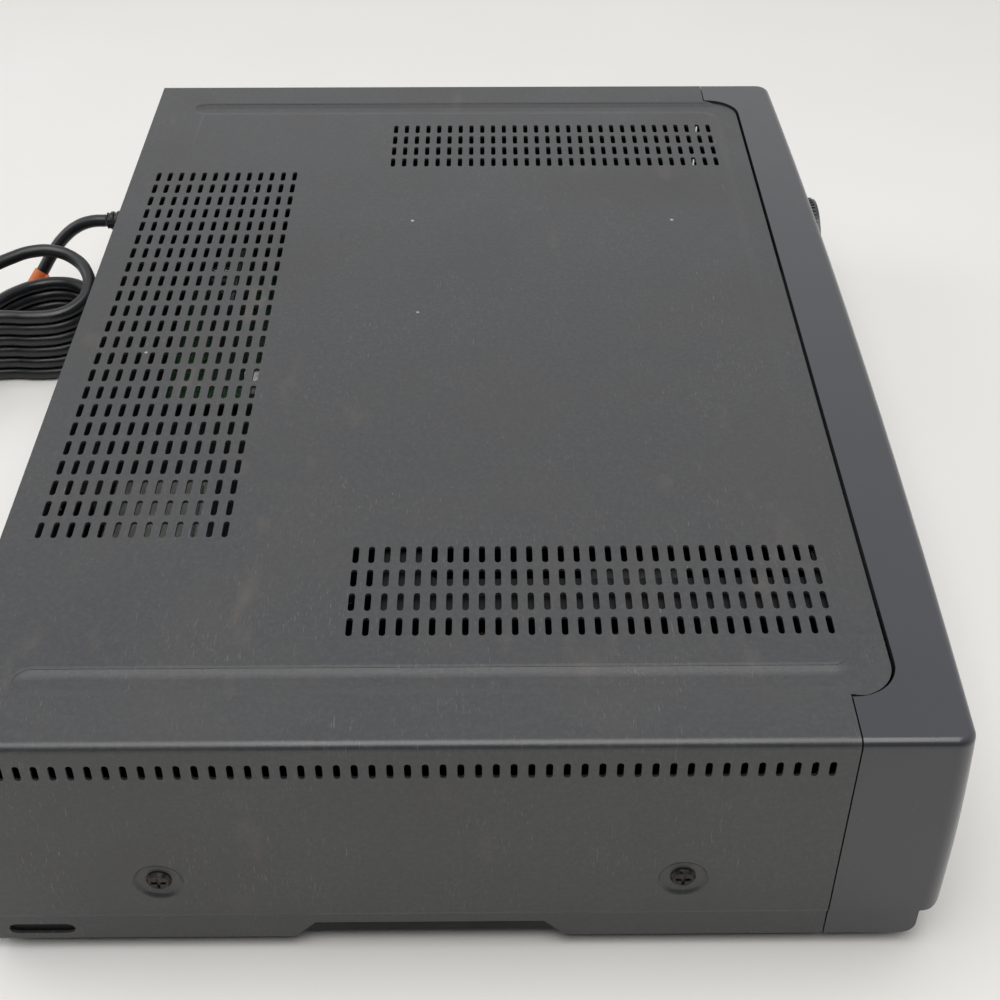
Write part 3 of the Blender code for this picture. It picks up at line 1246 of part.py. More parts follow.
def make_housing():
    front = deck_front() + SHEET
    rear = front + SIDE_PLATE_LENGTH
    bottom = DECK_Z + SEAT_GAP
    leg_front, leg_rear = frame_leg_span()
    slot_z = frame_pin_level()
    pin = LIFT_PIN_RADIUS + LIFT_PIN_GAP
    for side_sign, side_name in ((-1, "left"), (1, "right")):
        inner = DECK_X + side_sign * side_plate_inner()
        outer = inner + side_sign * SIDE_PLATE
        cheek = rectangle((front, bottom), (rear, SIDE_PLATE_TOP))
        slot_rear = leg_rear - 3 * LIFT_PIN_RADIUS + LIFT_IN
        slot = stadium((leg_front + 3 * LIFT_PIN_RADIUS, slot_z), (slot_rear, slot_z), pin)
        relief = rounded_rectangle((leg_rear, DECK_Z + 4 * LEG_RADIUS),
                                   (rear - 2 * LEG_INSET, slot_z - 4 * pin),
                                   2 * LIFT_PIN_RADIUS)
        plate(f"housing_side_{side_name}", cheek, "X", min(inner, outer), max(inner, outer), STEEL,
              holes=[slot, relief])
    half = side_plate_inner() + SIDE_PLATE
    low = (DECK_X - half, front)
    high = (DECK_X + half, rear)
    window_low = (low[0] + BRACE_WIDTH, low[1] + BRACE_WIDTH)
    window_high = (high[0] - BRACE_WIDTH, high[1] - BRACE_WIDTH)
    window = rounded_rectangle(window_low, window_high, BRACE_WIDTH / 4)
    top = SIDE_PLATE_TOP + SEAT_GAP
    plate("housing_top", rectangle(low, high), "Z", top, top + SHEET, STEEL, holes=[window])


def make_slide_frame():
    leg_front, leg_rear = frame_leg_span()
    inner = frame_leg_inner()
    outer = inner + FRAME_LEG_THICKNESS
    bar_low = TRAY_LEVEL + HOLDER_HEIGHT + FRAME_BAR_GAP
    bar_high = bar_low + TRAY_WALL
    foot = DECK_Z + FRAME_LEG_FOOT
    holder_pin = holder_pin_level()
    pin = LIFT_PIN_RADIUS + LIFT_PIN_GAP
    middle_y = (leg_front + leg_rear) / 2
    frame = box("slide_frame", (DECK_X - outer, leg_front, bar_low), (DECK_X + outer, leg_rear, bar_high),
                STEEL)
    for side_sign, side_name in ((-1, "left"), (1, "right")):
        a = DECK_X + side_sign * inner
        b = DECK_X + side_sign * outer
        leg = rectangle((leg_front, foot), (leg_rear, bar_low + TRAY_WALL / 2))
        slot = stadium((middle_y, holder_pin - LIFT_DOWN), (middle_y, holder_pin), pin)
        fuse(frame, plate(f"frame_leg_{side_name}", leg, "X", min(a, b), max(a, b), holes=[slot]))
        pin_end = DECK_X + side_sign * (side_plate_inner() + SIDE_PLATE)
        for place, y in (("front", leg_front + 3 * LIFT_PIN_RADIUS),
                         ("rear", leg_rear - 3 * LIFT_PIN_RADIUS)):
            start = (a + side_sign * FRAME_LEG_THICKNESS / 2, y, frame_pin_level())
            fuse(frame,
                 cylinder(f"frame_pin_{side_name}_{place}", LIFT_PIN_RADIUS, start, pin_end, "X",
                          segments=12))


def holder_pin_level():
    return TRAY_LEVEL + HOLDER_HEIGHT / 2


def make_holder():
    half = HOLDER_HALF_WIDTH
    wall = TRAY_WALL
    top = TRAY_LEVEL + HOLDER_HEIGHT
    rear = TRAY_Y + HOLDER_LENGTH
    flange_front = TRAY_Y + HOLDER_FLANGE_SETBACK
    leg_front, leg_rear = frame_leg_span()
    middle_y = (leg_front + leg_rear) / 2
    left = DECK_X - half
    right = DECK_X + half
    tray = [(left, TRAY_Y), (right, TRAY_Y), (right, rear), (right - HOLDER_LEDGE, rear),
            (right - HOLDER_LEDGE, TRAY_Y + HOLDER_BAR), (left + HOLDER_LEDGE, TRAY_Y + HOLDER_BAR),
            (left + HOLDER_LEDGE, rear), (left, rear)]
    holder = plate("cassette_holder", tray, "Z", TRAY_LEVEL, TRAY_LEVEL + wall, STEEL)
    for side_sign, side_name in ((-1, "left"), (1, "right")):
        outer = DECK_X + side_sign * (half - SEAT_GAP)
        inner = outer - side_sign * wall
        lip = outer - side_sign * HOLDER_LIP
        low_z = TRAY_LEVEL + wall / 2
        flange = [(outer, low_z), (outer, top), (lip, top), (lip, top - wall), (inner, top - wall),
                  (inner, low_z)]
        fuse(holder, plate(f"holder_flange_{side_name}", flange, "Y", flange_front, rear - SEAT_GAP))
        start = (outer - side_sign * wall / 2, middle_y, holder_pin_level())
        pin_end = DECK_X + side_sign * (frame_leg_inner() + FRAME_LEG_THICKNESS)
        fuse(holder, cylinder(f"holder_pin_{side_name}", LIFT_PIN_RADIUS, start, pin_end, "X", segments=10))


def make_drums():
    center = (DECK_X, DRUM_Y, DECK_Z + SEAT_GAP)
    flange_profile = [(0, DRUM_FLANGE_HEIGHT), (DRUM_FLANGE_RADIUS, DRUM_FLANGE_HEIGHT),
                      (DRUM_FLANGE_RADIUS, 0), (0, 0)]
    lower = turned("lower_drum", flange_profile, ALUMINIUM, DRUM_SEGMENTS, center)
    sink = DRUM_RADIUS * math.sin(DRUM_TILT)
    barrel_low = (DRUM_FLANGE_HEIGHT - SHEET) / math.cos(DRUM_TILT)
    profile = [(0, LOWER_DRUM_TOP), (DRUM_RADIUS, LOWER_DRUM_TOP), (DRUM_RADIUS, barrel_low), (0, barrel_low)]
    barrel = turned("drum_barrel", profile, None, DRUM_SEGMENTS, center)
    barrel.rotation_euler = (DRUM_TILT, 0, 0)
    fuse(lower, barrel)
    trim_low = (DECK_X - DRUM_FLANGE_RADIUS, DRUM_Y - DRUM_FLANGE_RADIUS - sink, center[2] - 2 * sink)
    trim_high = (DECK_X + DRUM_FLANGE_RADIUS, DRUM_Y + DRUM_FLANGE_RADIUS + sink, center[2])
    cut(lower, box("drum_trim", trim_low, trim_high))
    bottom = LOWER_DRUM_TOP + DRUM_SPLIT
    top = bottom + UPPER_DRUM_HEIGHT
    profile = [(0, top + DRUM_HUB_HEIGHT - DRUM_DISH), (DRUM_HUB_RADIUS, top + DRUM_HUB_HEIGHT - DRUM_DISH),
               (DRUM_HUB_RADIUS, top - DRUM_DISH), (DRUM_RADIUS - DRUM_RIM, top - DRUM_DISH),
               (DRUM_RADIUS - DRUM_RIM, top), (DRUM_RADIUS, top), (DRUM_RADIUS, bottom), (0, bottom)]
    upper = turned("upper_drum", profile, ALUMINIUM, DRUM_SEGMENTS, center)
    upper.rotation_euler = (DRUM_TILT, 0, 0)


def make_capstan():
    x = DECK_X + CAPSTAN_X
    y = DRUM_Y + CAPSTAN_Y
    flange_top = DECK_Z - DECK_THICKNESS - SEAT_GAP
    flange_low = flange_top - BEARING_FLANGE_THICKNESS
    bore = CAPSTAN_RADIUS + BORE_GAP
    profile = [(BEARING_RADIUS, BEARING_TOP), (BEARING_RADIUS, flange_top),
               (BEARING_FLANGE_RADIUS, flange_top),
               (BEARING_FLANGE_RADIUS, flange_low), (bore, flange_low), (bore, BEARING_TOP)]
    turned("capstan_bearing", profile, BRASS, 24, (x, y, 0))
    wheel_top = DECK_Z - FLYWHEEL_DROP
    wheel_low = wheel_top - FLYWHEEL_THICKNESS
    foot = FLOOR_Z + SEAT_GAP
    profile = [(0, CAPSTAN_TOP), (CAPSTAN_RADIUS, CAPSTAN_TOP), (CAPSTAN_RADIUS, wheel_top),
               (FLYWHEEL_RADIUS, wheel_top), (FLYWHEEL_RADIUS, wheel_low), (2 * CAPSTAN_RADIUS, wheel_low),
               (2 * CAPSTAN_RADIUS, foot), (0, foot)]
    turned("capstan_flywheel", profile, STEEL, 32, (x, y, 0))


def make_pinch():
    pivot = (DECK_X + PINCH_PIVOT_X, DRUM_Y + PINCH_PIVOT_Y)
    roller = polar(pivot, PINCH_ARM_LENGTH, PINCH_REST_ANGLE)
    low = PINCH_ARM_LEVEL
    high = low + PINCH_ARM_THICKNESS
    origin = (pivot[0], pivot[1], DECK_Z)
    arm = plate("pinch_arm", stadium(pivot, roller, PINCH_ARM_WIDTH / 2), "Z", low, high, STEEL,
                origin=origin)
    seat = DECK_Z + SEAT_GAP
    fuse(arm,
         cylinder("pinch_hub", PINCH_HUB_RADIUS, (pivot[0], pivot[1], seat), high + PINCH_ARM_THICKNESS, "Z",
                       segments=16))
    roller_low = high + RUN_GAP
    pin_top = roller_low + PINCH_ROLLER_HEIGHT + 2 * RUN_GAP
    fuse(arm,
         cylinder("pinch_pin", PINCH_PIN_RADIUS, (roller[0], roller[1], low + SHEET), pin_top, "Z",
                  segments=12))
    profile = [(PINCH_ROLLER_RADIUS, roller_low + PINCH_ROLLER_HEIGHT), (PINCH_ROLLER_RADIUS, roller_low),
               (PINCH_PIN_RADIUS + BORE_GAP, roller_low),
               (PINCH_PIN_RADIUS + BORE_GAP, roller_low + PINCH_ROLLER_HEIGHT)]
    turned("pinch_roller", profile, RUBBER, 24, (roller[0], roller[1], 0))


def make_reels():
    for side_sign, name in ((-1, "supply_reel"), (1, "takeup_reel")):
        center = (DECK_X + side_sign * REEL_SPACING / 2, REEL_Y)
        low = DECK_Z + SEAT_GAP
        disc_top = low + REEL_DISC_HEIGHT
        rim = gear_outline(center, REEL_RADIUS, REEL_TEETH, TOOTH_DEPTH)
        reel = plate(name, rim, "Z", low, disc_top, NYLON, origin=(center[0], center[1], 0))
        profile = [(0, SPINDLE_TOP), (SPINDLE_RADIUS / 2, SPINDLE_TOP),
                   (SPINDLE_RADIUS, SPINDLE_TOP - SPINDLE_RADIUS),
                   (SPINDLE_RADIUS, REEL_HUB_TOP), (REEL_HUB_RADIUS, REEL_HUB_TOP),
                   (REEL_HUB_RADIUS, low + SHEET), (0, low + SHEET)]
        fuse(reel, turned(name + "_hub", profile, None, 18, (center[0], center[1], 0)))
        for step in range(3):
            angle = 2 * math.pi * step / 3
            fin = box(f"{name}_fin_{step}", (0, -SPINDLE_FIN_WIDTH / 2, REEL_HUB_TOP - SHEET),
                      (SPINDLE_FIN_REACH, SPINDLE_FIN_WIDTH / 2, SPINDLE_TOP - SPINDLE_RADIUS))
            fin.data.transform(Matrix.Translation((center[0], center[1], 0)) @ Matrix.Rotation(angle, 4, "Z"))
            fuse(reel, fin)


def make_idler():
    pivot = (DECK_X, REEL_Y + IDLER_PIVOT_Y)
    wheel = (DECK_X, REEL_Y + IDLER_WHEEL_Y)
    low = DECK_Z + SEAT_GAP
    arm_low = low + REEL_DISC_HEIGHT + RUN_GAP
    arm_high = arm_low + ARM_THICKNESS
    origin = (pivot[0], pivot[1], 0)
    arm = plate("idler_arm", stadium(pivot, wheel, IDLER_ARM_WIDTH / 2), "Z", arm_low, arm_high, STEEL,
                origin=origin)
    fuse(arm,
         cylinder("idler_hub", PINCH_HUB_RADIUS, (pivot[0], pivot[1], low), arm_high + SHEET, "Z",
                  segments=16))
    fuse(arm,
         cylinder("idler_pin", PINCH_PIN_RADIUS, (wheel[0], wheel[1], low), arm_low + SHEET, "Z",
                  segments=12))
    gear = gear_outline(wheel, IDLER_RADIUS, IDLER_TEETH, TOOTH_DEPTH)
    hole = circle(wheel, PINCH_PIN_RADIUS + BORE_GAP, 12)
    plate("idler_wheel", gear, "Z", low, low + REEL_DISC_HEIGHT, NYLON, holes=[hole],
          origin=(wheel[0], wheel[1], 0))


def make_tape_guides():
    low = DECK_Z + SEAT_GAP
    for side_sign, name in ((-1, "loading_post_left"), (1, "loading_post_right")):
        start, end = post_angles(side_sign)
        place = polar(drum_center(), POST_PATH_RADIUS, start)
        base = box(name, (-POST_BASE_WIDTH / 2, -POST_BASE_LENGTH / 2, low),
                   (POST_BASE_WIDTH / 2, POST_BASE_LENGTH / 2, low + POST_BASE_HEIGHT), ALUMINIUM)
        turn = Matrix.Translation((place[0], place[1], 0)) @ Matrix.Rotation(start, 4, "Z")
        base.data.transform(turn)
        set_origin(base, (DECK_X, DRUM_Y, 0))
        tongue_low = DECK_Z - DECK_THICKNESS - SHEET
        fuse(base,
             cylinder(name + "_tongue", POST_TONGUE_RADIUS, (place[0], place[1], tongue_low), low + SHEET,
                      "Z",
                            segments=12))
        profile = [(0, POST_TOP), (POST_CAP_RADIUS, POST_TOP), (POST_CAP_RADIUS, POST_TOP - POST_CAP_HEIGHT),
                   (POST_ROLLER_RADIUS, POST_TOP - POST_CAP_HEIGHT), (POST_ROLLER_RADIUS, low + SHEET),
                   (0, low + SHEET)]
        fuse(base, turned(name + "_roller", profile, None, 14, (place[0], place[1], 0)))
    for name, x, y in (("erase_head", ERASE_X, ERASE_Y), ("sound_head", CONTROL_X, CONTROL_Y)):
        x += DECK_X
        y += DRUM_Y
        wide = HEAD_WIDTH / 2 + HEAD_BASE_MARGIN
        deep = HEAD_LENGTH / 2 + HEAD_BASE_MARGIN
        base = box(name, (x - wide, y - deep, low), (x + wide, y + deep, low + HEAD_BASE_HEIGHT), ALUMINIUM)
        block = box(name + "_block", (x - HEAD_WIDTH / 2, y - HEAD_LENGTH / 2, low + SHEET),
                    (x + HEAD_WIDTH / 2, y + HEAD_LENGTH / 2, low + HEAD_BASE_HEIGHT + HEAD_HEIGHT))
        round_edges(block, HEAD_BASE_MARGIN)
        fuse(base, block)


def make_tension_arm():
    pivot = (DECK_X + TENSION_PIVOT_X, DRUM_Y + TENSION_PIVOT_Y)
    tip = polar(pivot, TENSION_ARM_LENGTH, TENSION_REST_ANGLE)
    low = DECK_Z + SEAT_GAP
    arm_low = low + ARM_THICKNESS
    arm_high = arm_low + ARM_THICKNESS
    arm = plate("tension_arm", stadium(pivot, tip, TENSION_ARM_WIDTH / 2), "Z", arm_low, arm_high, STEEL,
                origin=(pivot[0], pivot[1], 0))
    fuse(arm,
         cylinder("tension_hub", PINCH_HUB_RADIUS, (pivot[0], pivot[1], low), arm_high + ARM_THICKNESS, "Z",
                       segments=16))
    fuse(arm,
         cylinder("tension_pin", TENSION_PIN_RADIUS, (tip[0], tip[1], arm_low + ARM_THICKNESS / 2),
                  TENSION_PIN_TOP,
                       "Z", segments=12))


def worm_place():
    x = DECK_X + MOTOR_X
    y = DRUM_Y + MOTOR_Y
    z = DECK_Z + MOTOR_RADIUS + SEAT_GAP
    return x, y, z


def cam_center():
    x, y, z = worm_place()
    return (x - WORM_RADIUS - WORM_WHEEL_RADIUS - RUN_GAP, y - RUN_GAP - WORM_LENGTH / 2)


def make_loading_drive():
    x, y, z = worm_place()
    motor = cylinder("loading_motor", MOTOR_RADIUS, (x, y + RUN_GAP, z), y + RUN_GAP + MOTOR_LENGTH, "Y",
                     STEEL,
                     segments=24)
    base_low = (x - MOTOR_RADIUS, y + RUN_GAP + SHEET, DECK_Z + SEAT_GAP)
    base_high = (x + MOTOR_RADIUS, y + MOTOR_LENGTH - SHEET, z - MOTOR_RADIUS / 2)
    fuse(motor, box("motor_saddle", base_low, base_high))
    cut(motor,
        cylinder("motor_bore", MOTOR_SHAFT_RADIUS + BORE_GAP, (x, y - OVERRUN, z), y + MOTOR_LENGTH / 2, "Y",
                        segments=10))
    worm_end = y - WORM_LENGTH
    profile = [(0, WORM_LENGTH)]
    for turn in range(WORM_TURNS):
        upper = WORM_LENGTH * (1 - turn / WORM_TURNS)
        middle = WORM_LENGTH * (1 - (turn + THREAD_CREST_SHARE) / WORM_TURNS)
        profile += [(WORM_RADIUS - WORM_THREAD, upper), (WORM_RADIUS, middle)]
    profile += [(WORM_RADIUS - WORM_THREAD, 0), (0, 0)]
    worm = turned("loading_worm", profile, BRASS, 12, (x, worm_end, z))
    worm.rotation_euler = (-math.pi / 2, 0, 0)
    shaft_start = (x, y - SHEET, z)
    fuse(worm,
         cylinder("worm_shaft", MOTOR_SHAFT_RADIUS, shaft_start, y + MOTOR_LENGTH / 2 - RUN_GAP, "Y",
                  segments=10))
    cam = cam_center()
    half = WORM_WHEEL_THICKNESS / 2
    rim = gear_outline(cam, WORM_WHEEL_RADIUS, WORM_WHEEL_TEETH, TOOTH_DEPTH)
    wheel = plate("worm_wheel", rim, "Z", z - half, z + half, NYLON, origin=(cam[0], cam[1], 0))
    cam_top = DECK_Z - DECK_THICKNESS - CAM_DROP
    profile = [(0, z + half + SHEET), (CAM_SHAFT_RADIUS, z + half + SHEET), (CAM_SHAFT_RADIUS, cam_top),
               (CAM_RADIUS, cam_top), (CAM_RADIUS, cam_top - CAM_THICKNESS), (CAM_SHAFT_RADIUS,
                                                                              cam_top - CAM_THICKNESS),
               (CAM_SHAFT_RADIUS, FLOOR_Z + SEAT_GAP), (0, FLOOR_Z + SEAT_GAP)]
    fuse(wheel, turned("cam_shaft", profile, None, 24, (cam[0], cam[1], 0)))


def make_front_board():
    back = BOARD_Y
    bottom = FLOOR_Z + SEAT_GAP
    edge = SIDE_X - FRONT_BOARD_EDGE
    top = BASE_Z + FRONT_BOARD_TOP
    wing = BASE_Z + FRONT_BOARD_WING_TOP
    left_wing = DECK_X - DOOR_WIDTH / 2 - 2 * DOOR_EAR_WIDTH
    right_wing = DECK_X + DOOR_WIDTH / 2 + 2 * DOOR_EAR_WIDTH
    outline = [(-edge, bottom), (edge, bottom), (edge, wing), (right_wing, wing), (right_wing, top),
               (left_wing, top),
               (left_wing, wing), (-edge, wing)]
    board = plate("front_board", outline, "Y", back, back + BOARD_THICKNESS, BOARD)
    for name, (x, z, width, height) in BUTTONS.items():
        half = SWITCH_SIZE / 2
        low = (x - half, back - SWITCH_THICKNESS, BASE_Z + z - half)
        high = (x + half, back + BOARD_THICKNESS / 2, BASE_Z + z + half)
        fuse(board, box(name + "_switch", low, high))
    encoder = (DIAL_X, back + BOARD_THICKNESS / 2, DIAL_Z)
    fuse(board,
         cylinder("dial_encoder", COLLAR_RADIUS + SHEET, encoder, back - SWITCH_THICKNESS, "Y", segments=16))
    low = (DECK_X - WINDOW_WIDTH / 2 + SHEET, back - DISPLAY_DEPTH, WINDOW_Z + SHEET)
    high = (DECK_X + WINDOW_WIDTH / 2 - SHEET, back + BOARD_THICKNESS / 2, WINDOW_Z + WINDOW_HEIGHT - SHEET)
    fuse(board, box("display_tube", low, high))


def make_electrics():
    low, high = board_box()
    top = BOARD_LEVEL + BOARD_THICKNESS
    board = box("main_board", (*low, BOARD_LEVEL), (*high, top), BOARD)
    for step in range(3):
        x = low[0] + CHIP_LENGTH + BOSS_POST_RADIUS
        y = low[1] + CHIP_PITCH * (step + 1)
        chip_low = (x - CHIP_LENGTH / 2, y - CHIP_WIDTH / 2, top - SHEET)
        chip_high = (x + CHIP_LENGTH / 2, y + CHIP_WIDTH / 2, top + CHIP_HEIGHT)
        fuse(board, box(f"chip_{step}", chip_low, chip_high))
    seat = top + SEAT_GAP
    size = TRANSFORMER_SIZE
    corner = (high[0] - TRANSFORMER_INSET[0] - size[0], high[1] - TRANSFORMER_INSET[1] - size[1], seat)
    core = box("transformer", corner, [a + b for a, b in zip(corner, size)], STEEL)
    coil_low = (corner[0] + BOBBIN_INSET, corner[1] - BOBBIN_SWELL, seat + BOBBIN_INSET)
    coil_high = (corner[0] + size[0] - BOBBIN_INSET, corner[1] + size[1] + BOBBIN_SWELL,
                 seat + size[2] - BOBBIN_INSET)
    coil = box("transformer_coil", coil_low, coil_high)
    round_edges(coil, BOBBIN_SWELL / 2)
    fuse(core, coil)
    size = HEAT_SINK_SIZE
    corner = (high[0] - HEAT_SINK_INSET[0] - size[0], high[1] - HEAT_SINK_INSET[1] - size[1], seat)
    sink = box("heat_sink", corner, (corner[0] + size[0], corner[1] + HEAT_SINK_PLATE, corner[2] + size[2]),
               ALUMINIUM)
    spacing = (size[0] - HEAT_SINK_PLATE) / (HEAT_SINK_FINS - 1)
    for step in range(HEAT_SINK_FINS):
        x = corner[0] + step * spacing
        fuse(sink, box(f"sink_fin_{step}", (x, corner[1] + SHEET, corner[2]),
                       (x + HEAT_SINK_PLATE, corner[1] + size[1], corner[2] + size[2])))
    size = CAN_SIZE
    rear = CHASSIS_REAR_Y - CAN_REAR_GAP
    corner = (CAN_OFFSET, can_front(), FLOOR_Z + SEAT_GAP)
    can = box("tuner_can", corner, (corner[0] + size[0], rear, CAN_LEVEL + size[2]), SILVER_TRIM)
    step_low = (corner[0] + CAN_STEP, corner[1] + CAN_STEP, CAN_LEVEL + size[2] - SHEET)
    step_high = (corner[0] + size[0] - CAN_STEP, rear - CAN_STEP, CAN_LEVEL + size[2] + SHEET)
    fuse(can, box("can_lid", step_low, step_high))


def make_mains_lead():
    """The strain relief, the loose stretch of lead, the folded hank and the plug."""
    x = EXIT_OFFSET
    z = BASE_Z + EXIT_LEVEL
    inner = PANEL_Y - PANEL_THICKNESS
    relief = cylinder("strain_relief", RELIEF_RADIUS, (x, PANEL_Y + SEAT_GAP, z), PANEL_Y + RELIEF_LENGTH,
                      "Y", LEAD,
                      segments=16, tip_radius=RELIEF_TIP_RADIUS)
    fuse(relief,
         cylinder("relief_neck", RELIEF_NECK_RADIUS, (x, inner - 2 * SEAT_GAP, z), PANEL_Y + SHEET, "Y",
                          segments=16))
    fuse(relief,
         cylinder("relief_stop", RELIEF_RADIUS, (x, inner - SEAT_GAP - 2 * SHEET, z), inner - SEAT_GAP, "Y",
                          segments=16))
    curve = bpy.data.curves.new("mains_lead", "CURVE")
    curve.dimensions = "3D"
    curve.bevel_depth = LEAD_RADIUS
    curve.bevel_resolution = 2
    curve.use_fill_caps = True
    spline = curve.splines.new("POLY")
    route = lead_route()
    spline.points.add(len(route) - 1)
    for point, place in zip(spline.points, route):
        point.co = (*place, 1)
    lead = bpy.data.objects.new("mains_lead", curve)
    curve.materials.append(LEAD)
    PARTS.objects.link(lead)
    reach = HANK_FOLD_RADIUS + LEAD_RADIUS
    fold_y = HANK_LENGTH / 2 - reach
    hank = plate("mains_lead_hank", stadium((0, -fold_y), (0, fold_y), reach, 8), "Z", SEAT_GAP, HANK_TOP,
                 LEAD)
    width, length, height = PLUG_SIZE
    seat = HANK_TOP + SEAT_GAP
    plug_low = (PLUG_SIDE - width / 2, 0, seat)
    plug_high = (PLUG_SIDE + width / 2, length, seat + height)
    plug = box("mains_plug", plug_low, plug_high, LEAD)
    round_edges(plug, PLUG_EDGE)
    pieces = [hank, plug]
    for side_sign in (-1, 1):
        blade_x = PLUG_SIDE + side_sign * PLUG_BLADE_SPACING / 2
        low = (blade_x - PLUG_BLADE[0] / 2, length - PLUG_EDGE, seat + (height - PLUG_BLADE[2]) / 2)
        high = (blade_x + PLUG_BLADE[0] / 2, length + PLUG_BLADE[1], seat + (height + PLUG_BLADE[2]) / 2)
        blade = box(f"plug_blade_{side_sign}", low, high)
        fuse(plug, blade)
        pieces.append(blade)
    for piece in pieces:
        piece.location = (*HANK_TIE, 0)
        piece.rotation_euler = (0, 0, HANK_TURN)


def lead_route():
    """Evenly spaced places on a smooth curve through the loose lead's own points."""
    points = [Vector(place) for place in LEAD_POINTS]
    ends = [points[0], *points, points[-1]]
    fine = []
    for before, first, second, after in zip(ends, ends[1:], ends[2:], ends[3:]):
        leaving = first + (second - before) / 6
        arriving = second - (after - first) / 6
        fine += geometry.interpolate_bezier(first, leaving, arriving, second, ROUTE_STEPS + 1)[:-1]
    fine.append(points[-1])
    gone = [0.0]
    for first, second in zip(fine, fine[1:]):
        gone.append(gone[-1] + (second - first).length)
    count = round(gone[-1] / ROUTE_SPACING)
    route = []
    for step in range(count):
        goal = gone[-1] * step / count
        index = max(i for i, length in enumerate(gone) if length <= goal)
        route.append(fine[index])
    route.append(fine[-1])
    return route


def shade_round_pieces():
    for item in PARTS.objects:
        if item.type == "MESH":
            item.data.shade_smooth()
            item.data.set_sharp_from_angle(angle=math.radians(35))


make_cover()
boss = make_bezel()
make_door()
make_window()
make_buttons()
make_dial(boss)
make_chassis()
make_feet()
make_cover_screws()
make_rear_panel()
make_sockets()
make_deck_plate()
make_housing()
make_slide_frame()
make_holder()
make_drums()
make_capstan()
make_pinch()
make_reels()
make_idler()
make_tape_guides()
make_tension_arm()
make_loading_drive()
make_front_board()
make_electrics()
make_mains_lead()
shade_round_pieces()
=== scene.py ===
# %% [markdown]
# # A video cassette recorder, seen from its left side
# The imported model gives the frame: where each part is and how it moves. This notebook adds what a
# camera sees: the embossed and slotted steel cover, the moulded bezel, the cord in its hank, and the
# finish of every surface. X runs to the right seen from the front, Y to the rear, Z up, in metres.

import math

import bmesh
import bpy
from mathutils import Matrix, Vector


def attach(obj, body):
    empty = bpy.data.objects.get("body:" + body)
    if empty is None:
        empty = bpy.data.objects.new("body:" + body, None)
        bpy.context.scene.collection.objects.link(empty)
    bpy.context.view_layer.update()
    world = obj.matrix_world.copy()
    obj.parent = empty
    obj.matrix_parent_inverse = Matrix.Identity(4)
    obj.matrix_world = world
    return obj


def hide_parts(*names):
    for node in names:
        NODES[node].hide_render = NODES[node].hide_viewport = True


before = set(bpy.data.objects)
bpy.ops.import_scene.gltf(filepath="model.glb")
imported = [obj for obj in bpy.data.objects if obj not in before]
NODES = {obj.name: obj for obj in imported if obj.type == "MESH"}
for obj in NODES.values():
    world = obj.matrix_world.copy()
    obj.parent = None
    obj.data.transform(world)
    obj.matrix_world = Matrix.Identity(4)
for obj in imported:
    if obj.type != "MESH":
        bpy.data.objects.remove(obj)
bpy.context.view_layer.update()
MM = 0.001

# %% [markdown]
# ## Camera
# The photograph was taken from the left, a little more than half a metre away and above the cover.
# The place, the direction and the lens were worked out from the cover's edges and rows of slots,
# so the camera is written as its place and its three axes, with no target object to track.

# %% Camera
CAMERA_PLACE = Vector((-0.5133, -0.0071, 0.4239))
CAMERA_FORWARD = Vector((0.77651, -0.00675, -0.63007))
CAMERA_RIGHT = Vector((-0.00840, -0.99996, 0.00036))
CAMERA_UP = Vector((0.63005, -0.00502, 0.77654))
LENS = 57.0
SENSOR = 36.0

camera = bpy.data.objects.new("camera", bpy.data.cameras.new("camera"))
bpy.context.scene.collection.objects.link(camera)
axes = Matrix((CAMERA_RIGHT, CAMERA_UP, -CAMERA_FORWARD)).transposed()
camera.matrix_world = Matrix.Translation(CAMERA_PLACE) @ axes.to_4x4()
camera.data.lens = LENS
camera.data.sensor_width = SENSOR
bpy.context.scene.camera = camera
print("camera at", [round(v, 3) for v in camera.location])

# %% [markdown]
# ## Hands for the work
# Every piece is made the way it is made by hand: clear the selection, add a primitive, shape it in
# edit mode, and finish it with modifiers. These few helpers keep the steps short. `pick_faces` and
# `pick_edges` select by place or normal, because a script can't click.

# %% Selection and finishing helpers
def clear_selection():
    if bpy.context.mode != "OBJECT":
        bpy.ops.object.mode_set(mode="OBJECT")
    bpy.ops.object.select_all(action="DESELECT")


def take(piece):
    """Makes the piece the only one that operators act on."""
    clear_selection()
    piece.hide_set(False)
    piece.select_set(True)
    bpy.context.view_layer.objects.active = piece
    return piece


def name_piece(piece, name):
    piece.name = name
    piece.data.name = name
    return piece


def settle(piece, name):
    """Puts the piece's place into its mesh, so that its object sits at the origin."""
    take(piece)
    bpy.ops.object.transform_apply(location=True, rotation=True, scale=True)
    return name_piece(piece, name)


def edit(piece, mode="FACE"):
    take(piece)
    bpy.ops.object.mode_set(mode="EDIT")
    bpy.ops.mesh.select_mode(type=mode)
    bpy.ops.mesh.select_all(action="DESELECT")
    return bmesh.from_edit_mesh(piece.data)


def done():
    bpy.ops.object.mode_set(mode="OBJECT")


def pick_faces(piece, test):
    """Edit mode, with the faces selected whose centre and normal pass the test."""
    mesh = edit(piece, "FACE")
    mesh.normal_update()
    for face in mesh.faces:
        face.select_set(bool(test(face.calc_center_median(), face.normal)))
    bmesh.update_edit_mesh(piece.data)
    return sum(face.select for face in mesh.faces)


def pick_edges(piece, test):
    """Edit mode, with the edges selected whose two ends pass the test."""
    mesh = edit(piece, "EDGE")
    for edge in mesh.edges:
        edge.select_set(bool(test(edge.verts[0].co, edge.verts[1].co)))
    bmesh.update_edit_mesh(piece.data)
    return sum(edge.select for edge in mesh.edges)


